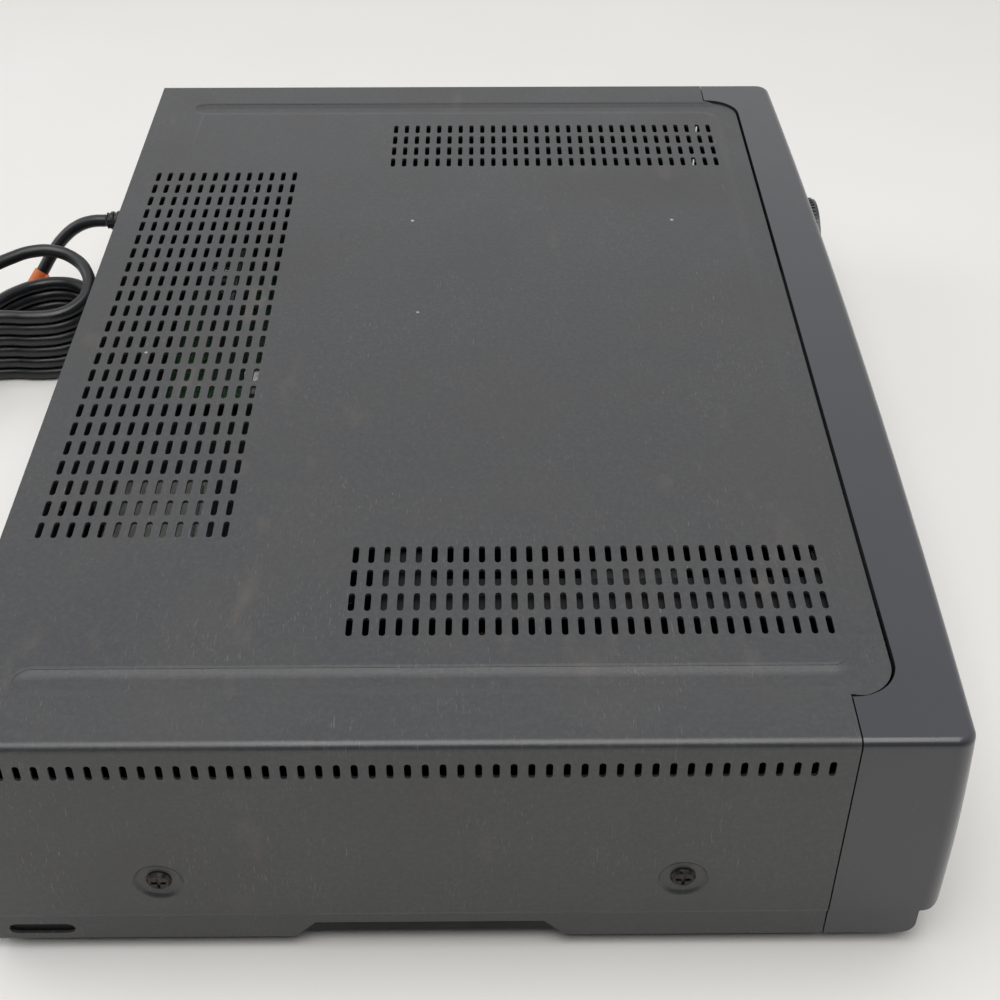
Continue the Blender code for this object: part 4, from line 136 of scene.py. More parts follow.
def finish_modifier(piece, kind, **settings):
    take(piece)
    modifier = piece.modifiers.new(kind.lower(), kind)
    for key, value in settings.items():
        setattr(modifier, key, value)
    bpy.ops.object.modifier_apply(modifier=modifier.name)
    return piece


def cut(piece, cutter, operation="DIFFERENCE"):
    """Cuts the piece with the cutter, or joins or crosses them, and takes the cutter away."""
    take(piece)
    modifier = piece.modifiers.new("cut", "BOOLEAN")
    modifier.operation = operation
    modifier.solver = "EXACT"
    modifier.object = cutter
    bpy.ops.object.modifier_apply(modifier=modifier.name)
    bpy.data.objects.remove(cutter)
    return piece


def slice_across(piece, axis, place):
    """Adds a ring of edges where a plane across the axis meets the piece."""
    edit(piece)
    bpy.ops.mesh.select_all(action="SELECT")
    normal = [0, 0, 0]
    normal["XYZ".index(axis)] = 1
    bpy.ops.mesh.bisect(plane_co=[place * share for share in normal], plane_no=normal)
    done()


def copy_of(piece, name):
    """A second piece with a mesh of its own."""
    twin = piece.copy()
    twin.data = piece.data.copy()
    bpy.context.scene.collection.objects.link(twin)
    return name_piece(twin, name)


def join(pieces, name):
    take(pieces[0])
    for piece in pieces[1:]:
        piece.select_set(True)
    bpy.ops.object.join()
    return name_piece(pieces[0], name)


def clean(piece, distance=1e-5):
    """Merges doubles and turns the faces outwards."""
    edit(piece, "VERT")
    bpy.ops.mesh.select_all(action="SELECT")
    bpy.ops.mesh.remove_doubles(threshold=distance)
    bpy.ops.mesh.normals_make_consistent(inside=False)
    done()
    return piece


def soften(piece, width, angle=35, segments=2, smooth=32, flat=None):
    """Rounds the sharp edges a little and shades flat faces flat and round ones smooth."""
    finish_modifier(piece, "BEVEL", width=width, segments=segments, limit_method="ANGLE",
                    angle_limit=math.radians(angle), harden_normals=False, use_clamp_overlap=True)
    take(piece)
    bpy.ops.object.shade_smooth_by_angle(angle=math.radians(smooth))
    if flat:
        pick_faces(piece, flat)
        bpy.ops.mesh.region_to_loop()
        bpy.ops.mesh.mark_sharp()
        done()
    finish_modifier(piece, "WEIGHTED_NORMAL", mode="FACE_AREA", weight=50, keep_sharp=True)
    return piece


def count(piece):
    return sum(len(p.vertices) - 2 for p in piece.data.polygons)


# %% [markdown]
# Most pieces begin as a block or a round. `block` adds a cube at its real size and place and rounds
# the edges along one axis, and `round_bar` adds a cylinder between two places on an axis. `outline`
# is for a plate of any shape: a filled circle whose rim is moved to the shape's corners, and which
# is then extruded to its thickness.

# %% First shapes
AXES = {"X": 0, "Y": 1, "Z": 2}


def block(name, low, high, radius=None, axis="Z", steps=6):
    clear_selection()
    low = Vector(low)
    high = Vector(high)
    bpy.ops.mesh.primitive_cube_add(size=1, location=(low + high) / 2)
    piece = bpy.context.object
    piece.scale = high - low
    settle(piece, name)
    if radius:
        along = AXES[axis]
        pick_edges(piece, lambda a, b: abs(a[along] - b[along]) > MM / 100)
        bpy.ops.mesh.bevel(offset=radius, segments=steps, affect="EDGES")
        done()
    return piece


def round_bar(name, centre, radius, start, end, axis="Z", sides=48, end_radius=None):
    """A bar from start to end along the axis. centre gives the other two coordinates, in order."""
    clear_selection()
    along = AXES[axis]
    middle = list(centre)
    middle.insert(along, (start + end) / 2)
    turn = {"X": (0, math.pi / 2, 0), "Y": (-math.pi / 2, 0, 0), "Z": (0, 0, 0)}[axis]
    bpy.ops.mesh.primitive_cone_add(vertices=sides, radius1=radius, radius2=end_radius or radius,
                                    depth=abs(end - start), location=middle, rotation=turn)
    return settle(bpy.context.object, name)


def outline(name, corners, axis, start, end):
    """A plate whose rim goes through the corners, given in the two other axes, from start to end."""
    clear_selection()
    bpy.ops.mesh.primitive_circle_add(vertices=len(corners), radius=1, fill_type="NGON")
    piece = name_piece(bpy.context.object, name)
    along = AXES[axis]
    for vertex, corner in zip(piece.data.vertices, corners):
        place = list(corner)
        place.insert(along, start)
        vertex.co = place
    edit(piece, "FACE")
    bpy.ops.mesh.select_all(action="SELECT")
    step = [0, 0, 0]
    step[along] = end - start
    bpy.ops.mesh.extrude_region_move(TRANSFORM_OT_translate={"value": step})
    bpy.ops.mesh.select_all(action="SELECT")
    bpy.ops.mesh.normals_make_consistent(inside=False)
    done()
    return piece


def arc(centre, radius, start, end, steps=8):
    """Points on an arc, with its angles in degrees."""
    angles = [math.radians(start + (end - start) * k / steps) for k in range(steps + 1)]
    return [(centre[0] + radius * math.cos(a), centre[1] + radius * math.sin(a)) for a in angles]


# %% [markdown]
# ## Finishes
# A finish is a node material. The shader's own sockets hold what is the same all over, and only what
# changes from place to place comes from textures: speckle, mottling, scratches, brushed lines. All
# textures read Object coordinates, which here are metres in the recorder's frame.

# %% Material helpers
def finish(name, colour, roughness, metallic=0.0, specular=0.5, coat=0.0, coat_roughness=0.1):
    material = bpy.data.materials.new(name)
    material.use_nodes = True
    shader = material.node_tree.nodes["Principled BSDF"]
    shader.inputs["Base Color"].default_value = (*[linear(v) for v in colour], 1)
    shader.inputs["Roughness"].default_value = roughness
    shader.inputs["Metallic"].default_value = metallic
    shader.inputs["Specular IOR Level"].default_value = specular
    shader.inputs["Coat Weight"].default_value = coat
    shader.inputs["Coat Roughness"].default_value = coat_roughness
    return material


def linear(value):
    """A written colour value from 0 to 255 as the light value that the shader wants."""
    value = value / 255
    return value / 12.92 if value <= 0.04045 else ((value + 0.055) / 1.055) ** 2.4


def shader_of(material):
    return material.node_tree.nodes["Principled BSDF"]


def add_node(material, kind, **settings):
    node = material.node_tree.nodes.new(kind)
    for key, value in settings.items():
        if key in node.inputs:
            node.inputs[key].default_value = value
        else:
            setattr(node, key, value)
    return node


def link(material, source, target):
    material.node_tree.links.new(source, target)


def mapped(material, scale=(1, 1, 1), turn=(0, 0, 0)):
    place = add_node(material, "ShaderNodeTexCoord")
    mapping = add_node(material, "ShaderNodeMapping")
    mapping.inputs["Scale"].default_value = scale
    mapping.inputs["Rotation"].default_value = turn
    link(material, place.outputs["Object"], mapping.inputs["Vector"])
    return mapping.outputs["Vector"]


def grain(material, scale, detail=3, stretch=(1, 1, 1), turn=(0, 0, 0), rough=0.5):
    noise = add_node(material, "ShaderNodeTexNoise")
    noise.inputs["Scale"].default_value = scale
    noise.inputs["Detail"].default_value = detail
    noise.inputs["Roughness"].default_value = rough
    link(material, mapped(material, stretch, turn), noise.inputs["Vector"])
    return noise.outputs["Fac"]


def between(material, source, low, high, to_low=0.0, to_high=1.0):
    """Spreads the source's range low..high over to_low..to_high, and cuts off what lies outside."""
    node = add_node(material, "ShaderNodeMapRange")
    node.clamp = True
    for key, value in (("From Min", low), ("From Max", high), ("To Min", to_low), ("To Max", to_high)):
        node.inputs[key].default_value = value
    link(material, source, node.inputs["Value"])
    return node.outputs["Result"]


def times(material, a, b):
    node = add_node(material, "ShaderNodeMath")
    node.operation = "MULTIPLY"
    link(material, a, node.inputs[0])
    if isinstance(b, (int, float)):
        node.inputs[1].default_value = b
    else:
        link(material, b, node.inputs[1])
    return node.outputs[0]


def plus(material, a, b):
    node = add_node(material, "ShaderNodeMath")
    node.operation = "ADD"
    link(material, a, node.inputs[0])
    link(material, b, node.inputs[1])
    return node.outputs[0]


def tint(material, factor, colour):
    """Lays another colour over the base colour where the factor is 1."""
    shader = shader_of(material)
    mix = add_node(material, "ShaderNodeMix", data_type="RGBA")
    socket = shader.inputs["Base Color"]
    if socket.links:
        link(material, socket.links[0].from_socket, mix.inputs[6])
    else:
        mix.inputs[6].default_value = socket.default_value
    mix.inputs[7].default_value = (*[linear(v) for v in colour], 1)
    link(material, factor, mix.inputs[0])
    link(material, mix.outputs[2], socket)


def bumps(material, height, distance, strength=1.0):
    """Adds a relief of that height in metres, over any relief that is there already."""
    shader = shader_of(material)
    bump = add_node(material, "ShaderNodeBump")
    bump.inputs["Strength"].default_value = strength
    bump.inputs["Distance"].default_value = distance
    if shader.inputs["Normal"].links:
        link(material, shader.inputs["Normal"].links[0].from_socket, bump.inputs["Normal"])
    link(material, height, bump.inputs["Height"])
    link(material, bump.outputs["Normal"], shader.inputs["Normal"])


def vary_roughness(material, source, low, high, to_low, to_high):
    link(material, between(material, source, low, high, to_low, to_high),
         shader_of(material).inputs["Roughness"])


def scratches(material, turn, amount, scale=260, thin=26):
    """Fine short hairlines in one direction: a noise drawn out along a line, cut at its crests."""
    lines = grain(material, scale, 2, (1, thin, 1), (0, 0, turn), 0.6)
    places = grain(material, 38, 2, (1, 1, 1), (0, 0, turn + 1))
    crests = between(material, lines, 0.66, 0.71)
    return times(material, times(material, crests, between(material, places, 0.5, 0.66)), amount)


def specks(material, size, share):
    """Small round specks of dust or chips: the middles of a few cells of a Voronoi pattern."""
    cells = add_node(material, "ShaderNodeTexVoronoi")
    cells.inputs["Scale"].default_value = 1 / size
    link(material, mapped(material), cells.inputs["Vector"])
    near = between(material, cells.outputs["Distance"], 0.10, 0.05)
    split = add_node(material, "ShaderNodeSeparateColor")
    link(material, cells.outputs["Color"], split.inputs["Color"])
    chosen = between(material, split.outputs["Red"], 1 - share, 1 - share + 0.001)
    return times(material, near, chosen)


# %% [markdown]
# The cover is steel sheet with a baked paint that dries to a fine pebbled dark grey. Years on a shelf
# have left hairlines in several directions, a few light specks and some dull, worn places. The bezel
# is moulded plastic in the same grey, but smoother, a little bluer and with more shine. The pebbles
# could be an image, but noise keeps them the same size at any distance and needs no file.

# %% Paint and plastics
def make_paint():
    paint = finish("grey_paint", (49, 50, 52), 0.40, specular=0.62)
    fine = grain(paint, 1500, 2, rough=0.6)
    pebble = grain(paint, 620, 3, rough=0.7)
    tint(paint, between(paint, pebble, 0.50, 0.68, 0.0, 0.55), (66, 67, 69))
    tint(paint, between(paint, pebble, 0.48, 0.34, 0.0, 0.5), (37, 38, 40))
    cloudy = grain(paint, 16, 4, rough=0.6)
    tint(paint, between(paint, fine, 0.35, 0.65, 0.0, 0.5), (54, 55, 57))
    tint(paint, between(paint, cloudy, 0.45, 0.75, 0.0, 0.5), (56, 54, 52))
    tint(paint, between(paint, grain(paint, 7, 3), 0.5, 0.75, 0.0, 0.45), (40, 41, 44))
    for turn, amount, size in ((0.7, 0.6, 150), (-0.85, 0.5, 170), (1.45, 0.4, 210), (0.75, 0.5, 320)):
        tint(paint, scratches(paint, turn, amount, size, 14), (116, 115, 113))
    worn = between(paint, grain(paint, 24, 5, (1, 2.2, 1)), 0.64, 0.77, 0.0, 0.40)
    tint(paint, worn, (92, 84, 76))
    tint(paint, specks(paint, 0.009, 0.03), (176, 172, 162))
    vary_roughness(paint, cloudy, 0.35, 0.7, 0.34, 0.46)
    bumps(paint, pebble, 0.00009, 0.5)
    bumps(paint, fine, 0.00006, 0.5)
    return paint


def make_bezel_plastic():
    plastic = finish("bezel_plastic", (50, 51, 56), 0.26, specular=0.5, coat=0.25, coat_roughness=0.2)
    fine = grain(plastic, 2400, 2)
    tint(plastic, between(plastic, grain(plastic, 6, 2), 0.35, 0.75, 0.0, 0.35), (54, 55, 60))
    vary_roughness(plastic, grain(plastic, 30, 2), 0.3, 0.7, 0.22, 0.30)
    bumps(plastic, fine, 0.00003, 0.35)
    return plastic


def make_plain_plastic(name, colour, roughness, shine=0.5, grain_height=0.00004):
    plastic = finish(name, colour, roughness, specular=shine)
    paler = tuple(v + 12 for v in colour)
    tint(plastic, between(plastic, grain(plastic, 30, 4), 0.42, 0.75, 0.0, 0.4), paler)
    tint(plastic, between(plastic, grain(plastic, 900, 2), 0.55, 0.7, 0.0, 0.3), paler)
    vary_roughness(plastic, grain(plastic, 80, 3), 0.3, 0.7, roughness - 0.06, roughness + 0.06)
    bumps(plastic, grain(plastic, 2000, 2), grain_height, 0.5)
    return plastic


def make_metal(name, colour, roughness, lines=(1, 1, 1), height=0.00002, stain=None):
    """A metal, with brushed or rolled lines along the axis whose stretch is smallest."""
    metal = finish(name, colour, roughness, metallic=1.0)
    drawn = grain(metal, 900, 3, lines)
    darker = tuple(v * 0.82 for v in colour)
    tint(metal, between(metal, drawn, 0.4, 0.68, 0.0, 0.5), darker)
    if stain:
        tint(metal, between(metal, grain(metal, 40, 4), 0.55, 0.75, 0.0, 0.5), stain)
    vary_roughness(metal, drawn, 0.3, 0.7, roughness - 0.08, roughness + 0.1)
    bumps(metal, drawn, height, 0.5)
    return metal


PAINT = make_paint()
BEZEL_PLASTIC = make_bezel_plastic()
DARK_PLASTIC = make_plain_plastic("dark_plastic", (38, 39, 41), 0.42)
KNOB_PLASTIC = make_plain_plastic("knob_plastic", (44, 47, 47), 0.34)
NYLON = make_plain_plastic("nylon", (206, 202, 190), 0.48)
RUBBER = make_plain_plastic("rubber", (30, 30, 31), 0.78, 0.3, 0.00008)
SILVER_TRIM = make_metal("silver_trim", (176, 178, 180), 0.32, (1, 1, 40))
STEEL = make_metal("zinc_steel", (170, 170, 166), 0.38, (30, 1, 1), stain=(150, 146, 132))
ALUMINIUM = make_metal("aluminium", (190, 192, 194), 0.34, (1, 30, 1))
MIRROR_STEEL = make_metal("polished_steel", (205, 206, 208), 0.16, (1, 1, 60), 0.000005)
BRASS = make_metal("brass", (196, 164, 96), 0.28, (1, 1, 20))
BLACK_SCREW = make_metal("black_screw", (62, 60, 60), 0.36, stain=(92, 84, 78))
print("first finishes:", len(bpy.data.materials))


# %% [markdown]
# A display window is a smoked sheet that hides the lamps behind it when they are off. The board is
# green lacquer over copper tracks, and the lead has a soft black sheath, a little dusty from
# the shelf.

# %% Window, board and cord finishes
def make_window():
    window = finish("smoked_window", (16, 15, 17), 0.08, specular=0.55, coat=0.6, coat_roughness=0.03)
    tint(window, between(window, grain(window, 30, 4), 0.5, 0.8, 0.0, 0.4), (30, 27, 28))
    tint(window, scratches(window, 0.3, 0.25, 420, 34), (84, 82, 82))
    vary_roughness(window, grain(window, 45, 4), 0.4, 0.75, 0.05, 0.16)
    return window


def make_board():
    board = finish("board", (38, 72, 50), 0.36, specular=0.5, coat=0.3)
    tracks = grain(board, 260, 1, (1, 6, 1))
    across = grain(board, 260, 1, (6, 1, 1))
    tint(board, between(board, tracks, 0.53, 0.55, 0.0, 0.8), (66, 108, 70))
    tint(board, between(board, across, 0.56, 0.58, 0.0, 0.7), (72, 116, 76))
    tint(board, specks(board, 0.005, 0.5), (176, 178, 172))
    bumps(board, tracks, 0.00005, 0.4)
    return board


def make_lead_jacket():
    jacket = finish("lead_jacket", (22, 23, 25), 0.34, specular=0.5)
    tint(jacket, between(jacket, grain(jacket, 90, 4), 0.42, 0.75, 0.0, 0.6), (34, 36, 40))
    tint(jacket, between(jacket, grain(jacket, 34, 3), 0.58, 0.8, 0.0, 0.35), (62, 62, 62))
    vary_roughness(jacket, grain(jacket, 120, 3), 0.3, 0.7, 0.26, 0.44)
    bumps(jacket, grain(jacket, 700, 2), 0.00006, 0.4)
    return jacket


WINDOW = make_window()
BOARD = make_board()
LEAD_JACKET = make_lead_jacket()
TIE_BLUE = make_plain_plastic("tie_blue", (42, 78, 132), 0.4)
TAG_ORANGE = make_plain_plastic("tag_orange", (214, 112, 58), 0.5)


def dress(piece, material):
    piece.data.materials.clear()
    piece.data.materials.append(material)
    return piece


# %% [markdown]
# ## Floor and light
# The recorder stands on a wide pale sheet, which fills the whole picture, because the camera looks
# down. The light is plain and soft: a broad lamp overhead, a weaker one from the rear, and a pale
# surround that is darker behind the camera, where the room was. Light Path tells the kinds of ray
# apart: the camera sees a plain white beyond the floor, mirrors and glass see a brighter surround than
# the one that lights the recorder, and far from the recorder the floor itself fades into that white.

# %% Stage
FLOOR_HALF = 4.0
FLOOR_COLOUR = (226, 224, 220)
BACKGROUND = (0.8, 0.8, 0.8, 1)
FADE_START = 0.9
FADE_END = 2.0


def fade_to_background(material):
    """Far from the recorder the camera, mirrors and glass see the plain background, not the floor."""
    place = add_node(material, "ShaderNodeTexCoord")
    distance = add_node(material, "ShaderNodeVectorMath")
    distance.operation = "LENGTH"
    link(material, place.outputs["Object"], distance.inputs[0])
    far = between(material, distance.outputs["Value"], FADE_START, FADE_END)
    path = add_node(material, "ShaderNodeLightPath")
    mirrored = plus(material, path.outputs["Is Glossy Ray"], path.outputs["Is Transmission Ray"])
    seen = plus(material, path.outputs["Is Camera Ray"], mirrored)
    glow = add_node(material, "ShaderNodeEmission")
    glow.inputs["Color"].default_value = BACKGROUND
    mix = add_node(material, "ShaderNodeMixShader")
    link(material, times(material, far, seen), mix.inputs["Fac"])
    link(material, shader_of(material).outputs["BSDF"], mix.inputs[1])
    link(material, glow.outputs["Emission"], mix.inputs[2])
    link(material, mix.outputs["Shader"], material.node_tree.nodes["Material Output"].inputs["Surface"])


clear_selection()
bpy.ops.mesh.primitive_plane_add(size=2 * FLOOR_HALF, location=(0, 0, 0))
floor = settle(bpy.context.object, "floor_sheet")
floor_finish = finish("floor_paper", FLOOR_COLOUR, 0.7, specular=0.25)
tint(floor_finish, between(floor_finish, grain(floor_finish, 5, 3), 0.4, 0.7, 0.0, 0.5), (230, 228, 226))
bumps(floor_finish, grain(floor_finish, 500, 3), 0.0001, 0.25)
fade_to_background(floor_finish)
dress(floor, floor_finish)
print("floor sheet", len(floor.data.polygons), "faces")


# %% Lamps and surround
def soft_lamp(name, place, aim, size, power, colour=(1, 1, 1)):
    lamp = bpy.data.objects.new(name, bpy.data.lights.new(name, "AREA"))
    bpy.context.scene.collection.objects.link(lamp)
    lamp.location = place
    lamp.rotation_euler = (Vector(aim) - Vector(place)).to_track_quat("-Z", "Y").to_euler()
    lamp.data.shape = "RECTANGLE"
    lamp.data.size, lamp.data.size_y = size
    lamp.data.energy = power
    lamp.data.color = colour
    return lamp


AIR = 0.45
DARK_SIDE = 0.10
MIRROR = 1.0
MIRROR_DARK = 0.03
DARK_UP_TO = -0.85
LIGHT_FROM = 0.1
soft_lamp("lamp_overhead", (-0.45, 0.0, 1.9), (-0.1, 0, 0), (1.7, 1.9), 38, (1.0, 0.99, 0.975))
soft_lamp("lamp_rear", (0.3, 1.6, 1.2), (0, 0, 0.05), (1.2, 0.8), 6, (0.96, 0.98, 1.0))

world = bpy.data.worlds.new("surround")
world.use_nodes = True
bpy.context.scene.world = world
air = world.node_tree.nodes["Background"]
air.inputs["Color"].default_value = (0.95, 0.97, 1.0, 1)


def world_node(kind, **settings):
    node = world.node_tree.nodes.new(kind)
    for key, value in settings.items():
        setattr(node, key, value)
    return node


def by_side(low, high):
    """A strength that is low behind the camera, at the recorder's left, and high in front of it."""
    strength = world_node("ShaderNodeMapRange", interpolation_type="SMOOTHSTEP")
    for key, value in (("From Min", DARK_UP_TO), ("From Max", LIGHT_FROM), ("To Min", low), ("To Max", high)):
        strength.inputs[key].default_value = value
    world.node_tree.links.new(sides.outputs["X"], strength.inputs["Value"])
    return strength.outputs["Result"]


direction = world_node("ShaderNodeTexCoord")
sides = world_node("ShaderNodeSeparateXYZ")
world.node_tree.links.new(direction.outputs["Generated"], sides.inputs[0])
world.node_tree.links.new(by_side(DARK_SIDE, AIR), air.inputs["Strength"])
white = world_node("ShaderNodeBackground")
white.inputs["Color"].default_value = BACKGROUND
mirrored = world_node("ShaderNodeBackground")
world.node_tree.links.new(by_side(MIRROR_DARK, MIRROR), mirrored.inputs["Strength"])
path = world_node("ShaderNodeLightPath")
gloss = world_node("ShaderNodeMath", operation="MAXIMUM")
world.node_tree.links.new(path.outputs["Is Glossy Ray"], gloss.inputs[0])
world.node_tree.links.new(path.outputs["Is Transmission Ray"], gloss.inputs[1])
first_choice = world_node("ShaderNodeMixShader")
second_choice = world_node("ShaderNodeMixShader")
for source, target in ((gloss.outputs[0], first_choice.inputs["Fac"]),
                       (air.outputs[0], first_choice.inputs[1]),
                       (mirrored.outputs[0], first_choice.inputs[2]),
                       (path.outputs["Is Camera Ray"], second_choice.inputs["Fac"]),
                       (first_choice.outputs[0], second_choice.inputs[1]),
                       (white.outputs[0], second_choice.inputs[2]),
                       (second_choice.outputs[0], world.node_tree.nodes["World Output"].inputs["Surface"])):
    world.node_tree.links.new(source, target)
bpy.context.scene.view_settings.view_transform = "Standard"
print("surround strength", AIR, "in mirrors", MIRROR)

# %% [markdown]
# ## The mains lead
# A mains lead of this kind is about 1.8 m of 6 mm round cable. It leaves the rear panel through a
# tapered relief, sinks to the table and is folded into a hank beside the recorder, tied round its
# waist, with the plug lying on top. The route is one smooth curve: listed points up to the
# hank, then runs and half-turn folds, each layer one diameter above the last.

# %% Route of the lead
LEAD_RADIUS = 0.003
LEAD_EXIT = (0.165, 0.1756, 0.048)
LEAD_POINTS = [
    (0.1650, 0.1764, 0.0480), (0.1650, 0.1840, 0.0475), (0.1645, 0.1910, 0.0450), (0.1625, 0.1979, 0.0401),
    (0.1589, 0.2038, 0.0335), (0.1545, 0.2090, 0.0261), (0.1493, 0.2145, 0.0188), (0.1432, 0.2212, 0.0125),
    (0.1371, 0.2289, 0.0077), (0.1313, 0.2375, 0.0044), (0.1257, 0.2471, 0.0033),
]
HANK_TIE = Vector((0.1048, 0.2303, 0))
HANK_TURN = math.radians(28)
HANK_HALF = 0.036
HANK_FOLD = 0.020
HANK_WAIST = 0.006
HANK_LAYERS = 6
HANK_PITCH = 0.00605
HANK_FLOOR = 0.0033
HANK_TOP = 0.0458


def hank_place(t, s, z):
    """A place on the hank, t across it and s along it, in the recorder's frame."""
    right = Vector((math.cos(HANK_TURN), math.sin(HANK_TURN), 0))
    ahead = Vector((-math.sin(HANK_TURN), math.cos(HANK_TURN), 0))
    return HANK_TIE + right * t + ahead * s + Vector((0, 0, z))


def run_offset(s):
    """How far a run lies from the hank's middle line: drawn in at the tie, wide at the folds."""
    share = (1 - math.cos(math.pi * min(abs(s) / HANK_HALF, 1))) / 2
    return HANK_WAIST + (HANK_FOLD - HANK_WAIST) * share


def hank_points():
    points = [hank_place(0.0242, 0.012, HANK_FLOOR), hank_place(0.0216, 0.026, HANK_FLOOR)]
    runs = [HANK_HALF * (1 - k / 3) for k in range(7)]
    for layer in range(HANK_LAYERS):
        z = HANK_FLOOR + layer * HANK_PITCH
        for across, along in arc((0, HANK_HALF), HANK_FOLD, 0, 180, 6):
            points.append(hank_place(across, along, z))
        for s in runs[1:-1]:
            points.append(hank_place(-run_offset(s), s, z))
        last = layer == HANK_LAYERS - 1
        for k, (across, along) in enumerate(arc((0, -HANK_HALF), HANK_FOLD, 180, 360, 6)):
            lift = (HANK_TOP - z) * (k / 6) ** 2 * (3 - 2 * k / 6) if last else 0
            points.append(hank_place(across, along, z + lift))
        if last:
            break
        for k, s in enumerate(reversed(runs[1:-1])):
            points.append(hank_place(run_offset(s), s, z + HANK_PITCH * (k + 1) / 6))
    for across, along in ((0.0185, -0.026), (0.0145, -0.014), (0.012, -0.004), (0.012, 0.002)):
        points.append(hank_place(across, along, HANK_TOP))
    return points


# %% Lead as one curve
def smooth_curve(name, points, radius):
    curve = bpy.data.curves.new(name, "CURVE")
    curve.dimensions = "3D"
    curve.bevel_depth = radius
    curve.bevel_resolution = 3
    curve.resolution_u = 5
    curve.use_fill_caps = True
    spline = curve.splines.new("BEZIER")
    spline.bezier_points.add(len(points) - 1)
    for knot, point in zip(spline.bezier_points, points):
        knot.co = point
        knot.handle_left_type = knot.handle_right_type = "AUTO"
    piece = bpy.data.objects.new(name, curve)
    bpy.context.scene.collection.objects.link(piece)
    return piece


route = [Vector(p) for p in LEAD_POINTS] + hank_points()
lead = smooth_curve("mains_lead_sheath", route, LEAD_RADIUS)
dress(lead, LEAD_JACKET)
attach(lead, "root")
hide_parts("mains_lead", "mains_lead_hank")
print("lead points", len(route), "straight-line length",
      round(sum((b - a).length for a, b in zip(route, route[1:])), 3), "m")

# %% [markdown]
# The relief is a soft tapered sleeve with cross slits, which spreads the bend of the lead. The plug is
# a two-blade plug with a ribbed grip. Both are lathe and block shapes: the relief is a cone whose
# rings are inset and pushed in, the plug a rounded block whose rear is drawn in.

# %% Relief, plug, tie and tag
RELIEF_Y = (0.1479, 0.1756)
RELIEF_RADII = (0.0065, 0.0042)
RELIEF_STEPS = 18
SLIT_DEPTH = 0.0011
NECK_RADIUS = 0.0076
PLUG_LOW = (-0.001, 0.0, 0.03685)
PLUG_HIGH = (0.025, 0.034, 0.05485)
GRIP_RIBS = 5
GRIP_START = 0.0145
GRIP_STEP = 0.0028
HANK_MATRIX = Matrix.Translation(HANK_TIE) @ Matrix.Rotation(HANK_TURN, 4, "Z")


def make_relief():
    x, z = LEAD_EXIT[0], LEAD_EXIT[2]
    start, end = RELIEF_Y
    step = (end - start) / RELIEF_STEPS
    relief = round_bar("lead_relief", (x, z), RELIEF_RADII[0], start, end, "Y", 32, RELIEF_RADII[1])
    for k in range(1, RELIEF_STEPS):
        slice_across(relief, "Y", start + step * k)
    pick_faces(relief, lambda c, n: abs(n.y) < 0.5 and int((c.y - start) / step) % 2 == 1
               and abs(c.x - x) < abs(c.z - z) * 1.8)
    bpy.ops.mesh.extrude_region_shrink_fatten(TRANSFORM_OT_shrink_fatten={"value": -SLIT_DEPTH})
    done()
    neck = round_bar("neck", (x, z), NECK_RADIUS, start - 0.0002, start + 0.0022, "Y", 32)
    relief = join([relief, neck], "lead_relief")
    return soften(relief, 0.0002, 40, 1)


def make_plug():
    """Made lying along the hank's own axes, then turned into place."""
    body = block("plug_body", PLUG_LOW, PLUG_HIGH, 0.005, "Y", 5)
    for y in (0.006, 0.012, 0.026):
        slice_across(body, "Y", y)
    middle = ((PLUG_LOW[0] + PLUG_HIGH[0]) / 2, 0, (PLUG_LOW[2] + PLUG_HIGH[2]) / 2)
    for y, share in ((0.0, 0.52), (0.006, 0.72), (0.012, 0.93), (0.034, 0.97)):
        pick_edges(body, lambda a, b: abs(a.y - y) < 1e-5 and abs(b.y - y) < 1e-5)
        bpy.ops.transform.resize(value=(share, 1, share), center_override=(middle[0], y, middle[2]))
        done()
    soften(body, 0.0016, 30, 3)
    ribs = []
    for k in range(GRIP_RIBS):
        y = GRIP_START + GRIP_STEP * k
        for side in (-1, 1):
            x = middle[0] + side * 0.0123
            rib = block("rib", (x - 0.0006, y, middle[2] - 0.0055),
                        (x + 0.0006, y + 0.0013, middle[2] + 0.0055), 0.0005, "X", 2)
            ribs.append(soften(rib, 0.0002, 40, 2))
    collar = round_bar("collar", (middle[0], middle[2]), 0.0046, -0.0005, 0.0008, "Y", 32)
    body = join([body, soften(collar, 0.0004, 40, 2)] + ribs, "plug_body")
    return dress(body, DARK_PLASTIC)


def make_blades():
    """Two flat blades, each with its hole and its chamfered tip."""
    blades = []
    for side in (-1, 1):
        x = 0.012 + side * 0.0127 / 2
        z = (PLUG_LOW[2] + PLUG_HIGH[2]) / 2
        blade = block("blade", (x - 0.00075, 0.033, z - 0.0031), (x + 0.00075, 0.051, z + 0.0031))
        hole = round_bar("hole", (0.0475, z), 0.0016, x - 0.002, x + 0.002, "X", 20)
        cut(blade, hole)
        pick_faces(blade, lambda c, n: n.y > 0.9)
        bpy.ops.transform.resize(value=(0.35, 1, 0.8), center_override=(x, 0.051, z))
        done()
        blades.append(soften(blade, 0.00012, 40, 1))
    return dress(join(blades, "plug_blades"), BRASS)


def lay_on_hank(piece, name):
    piece.matrix_world = HANK_MATRIX
    return settle(piece, name)


relief = dress(make_relief(), LEAD_JACKET)
plug = join([make_plug(), make_blades()], "mains_plug_body")
lay_on_hank(plug, "mains_plug_body")


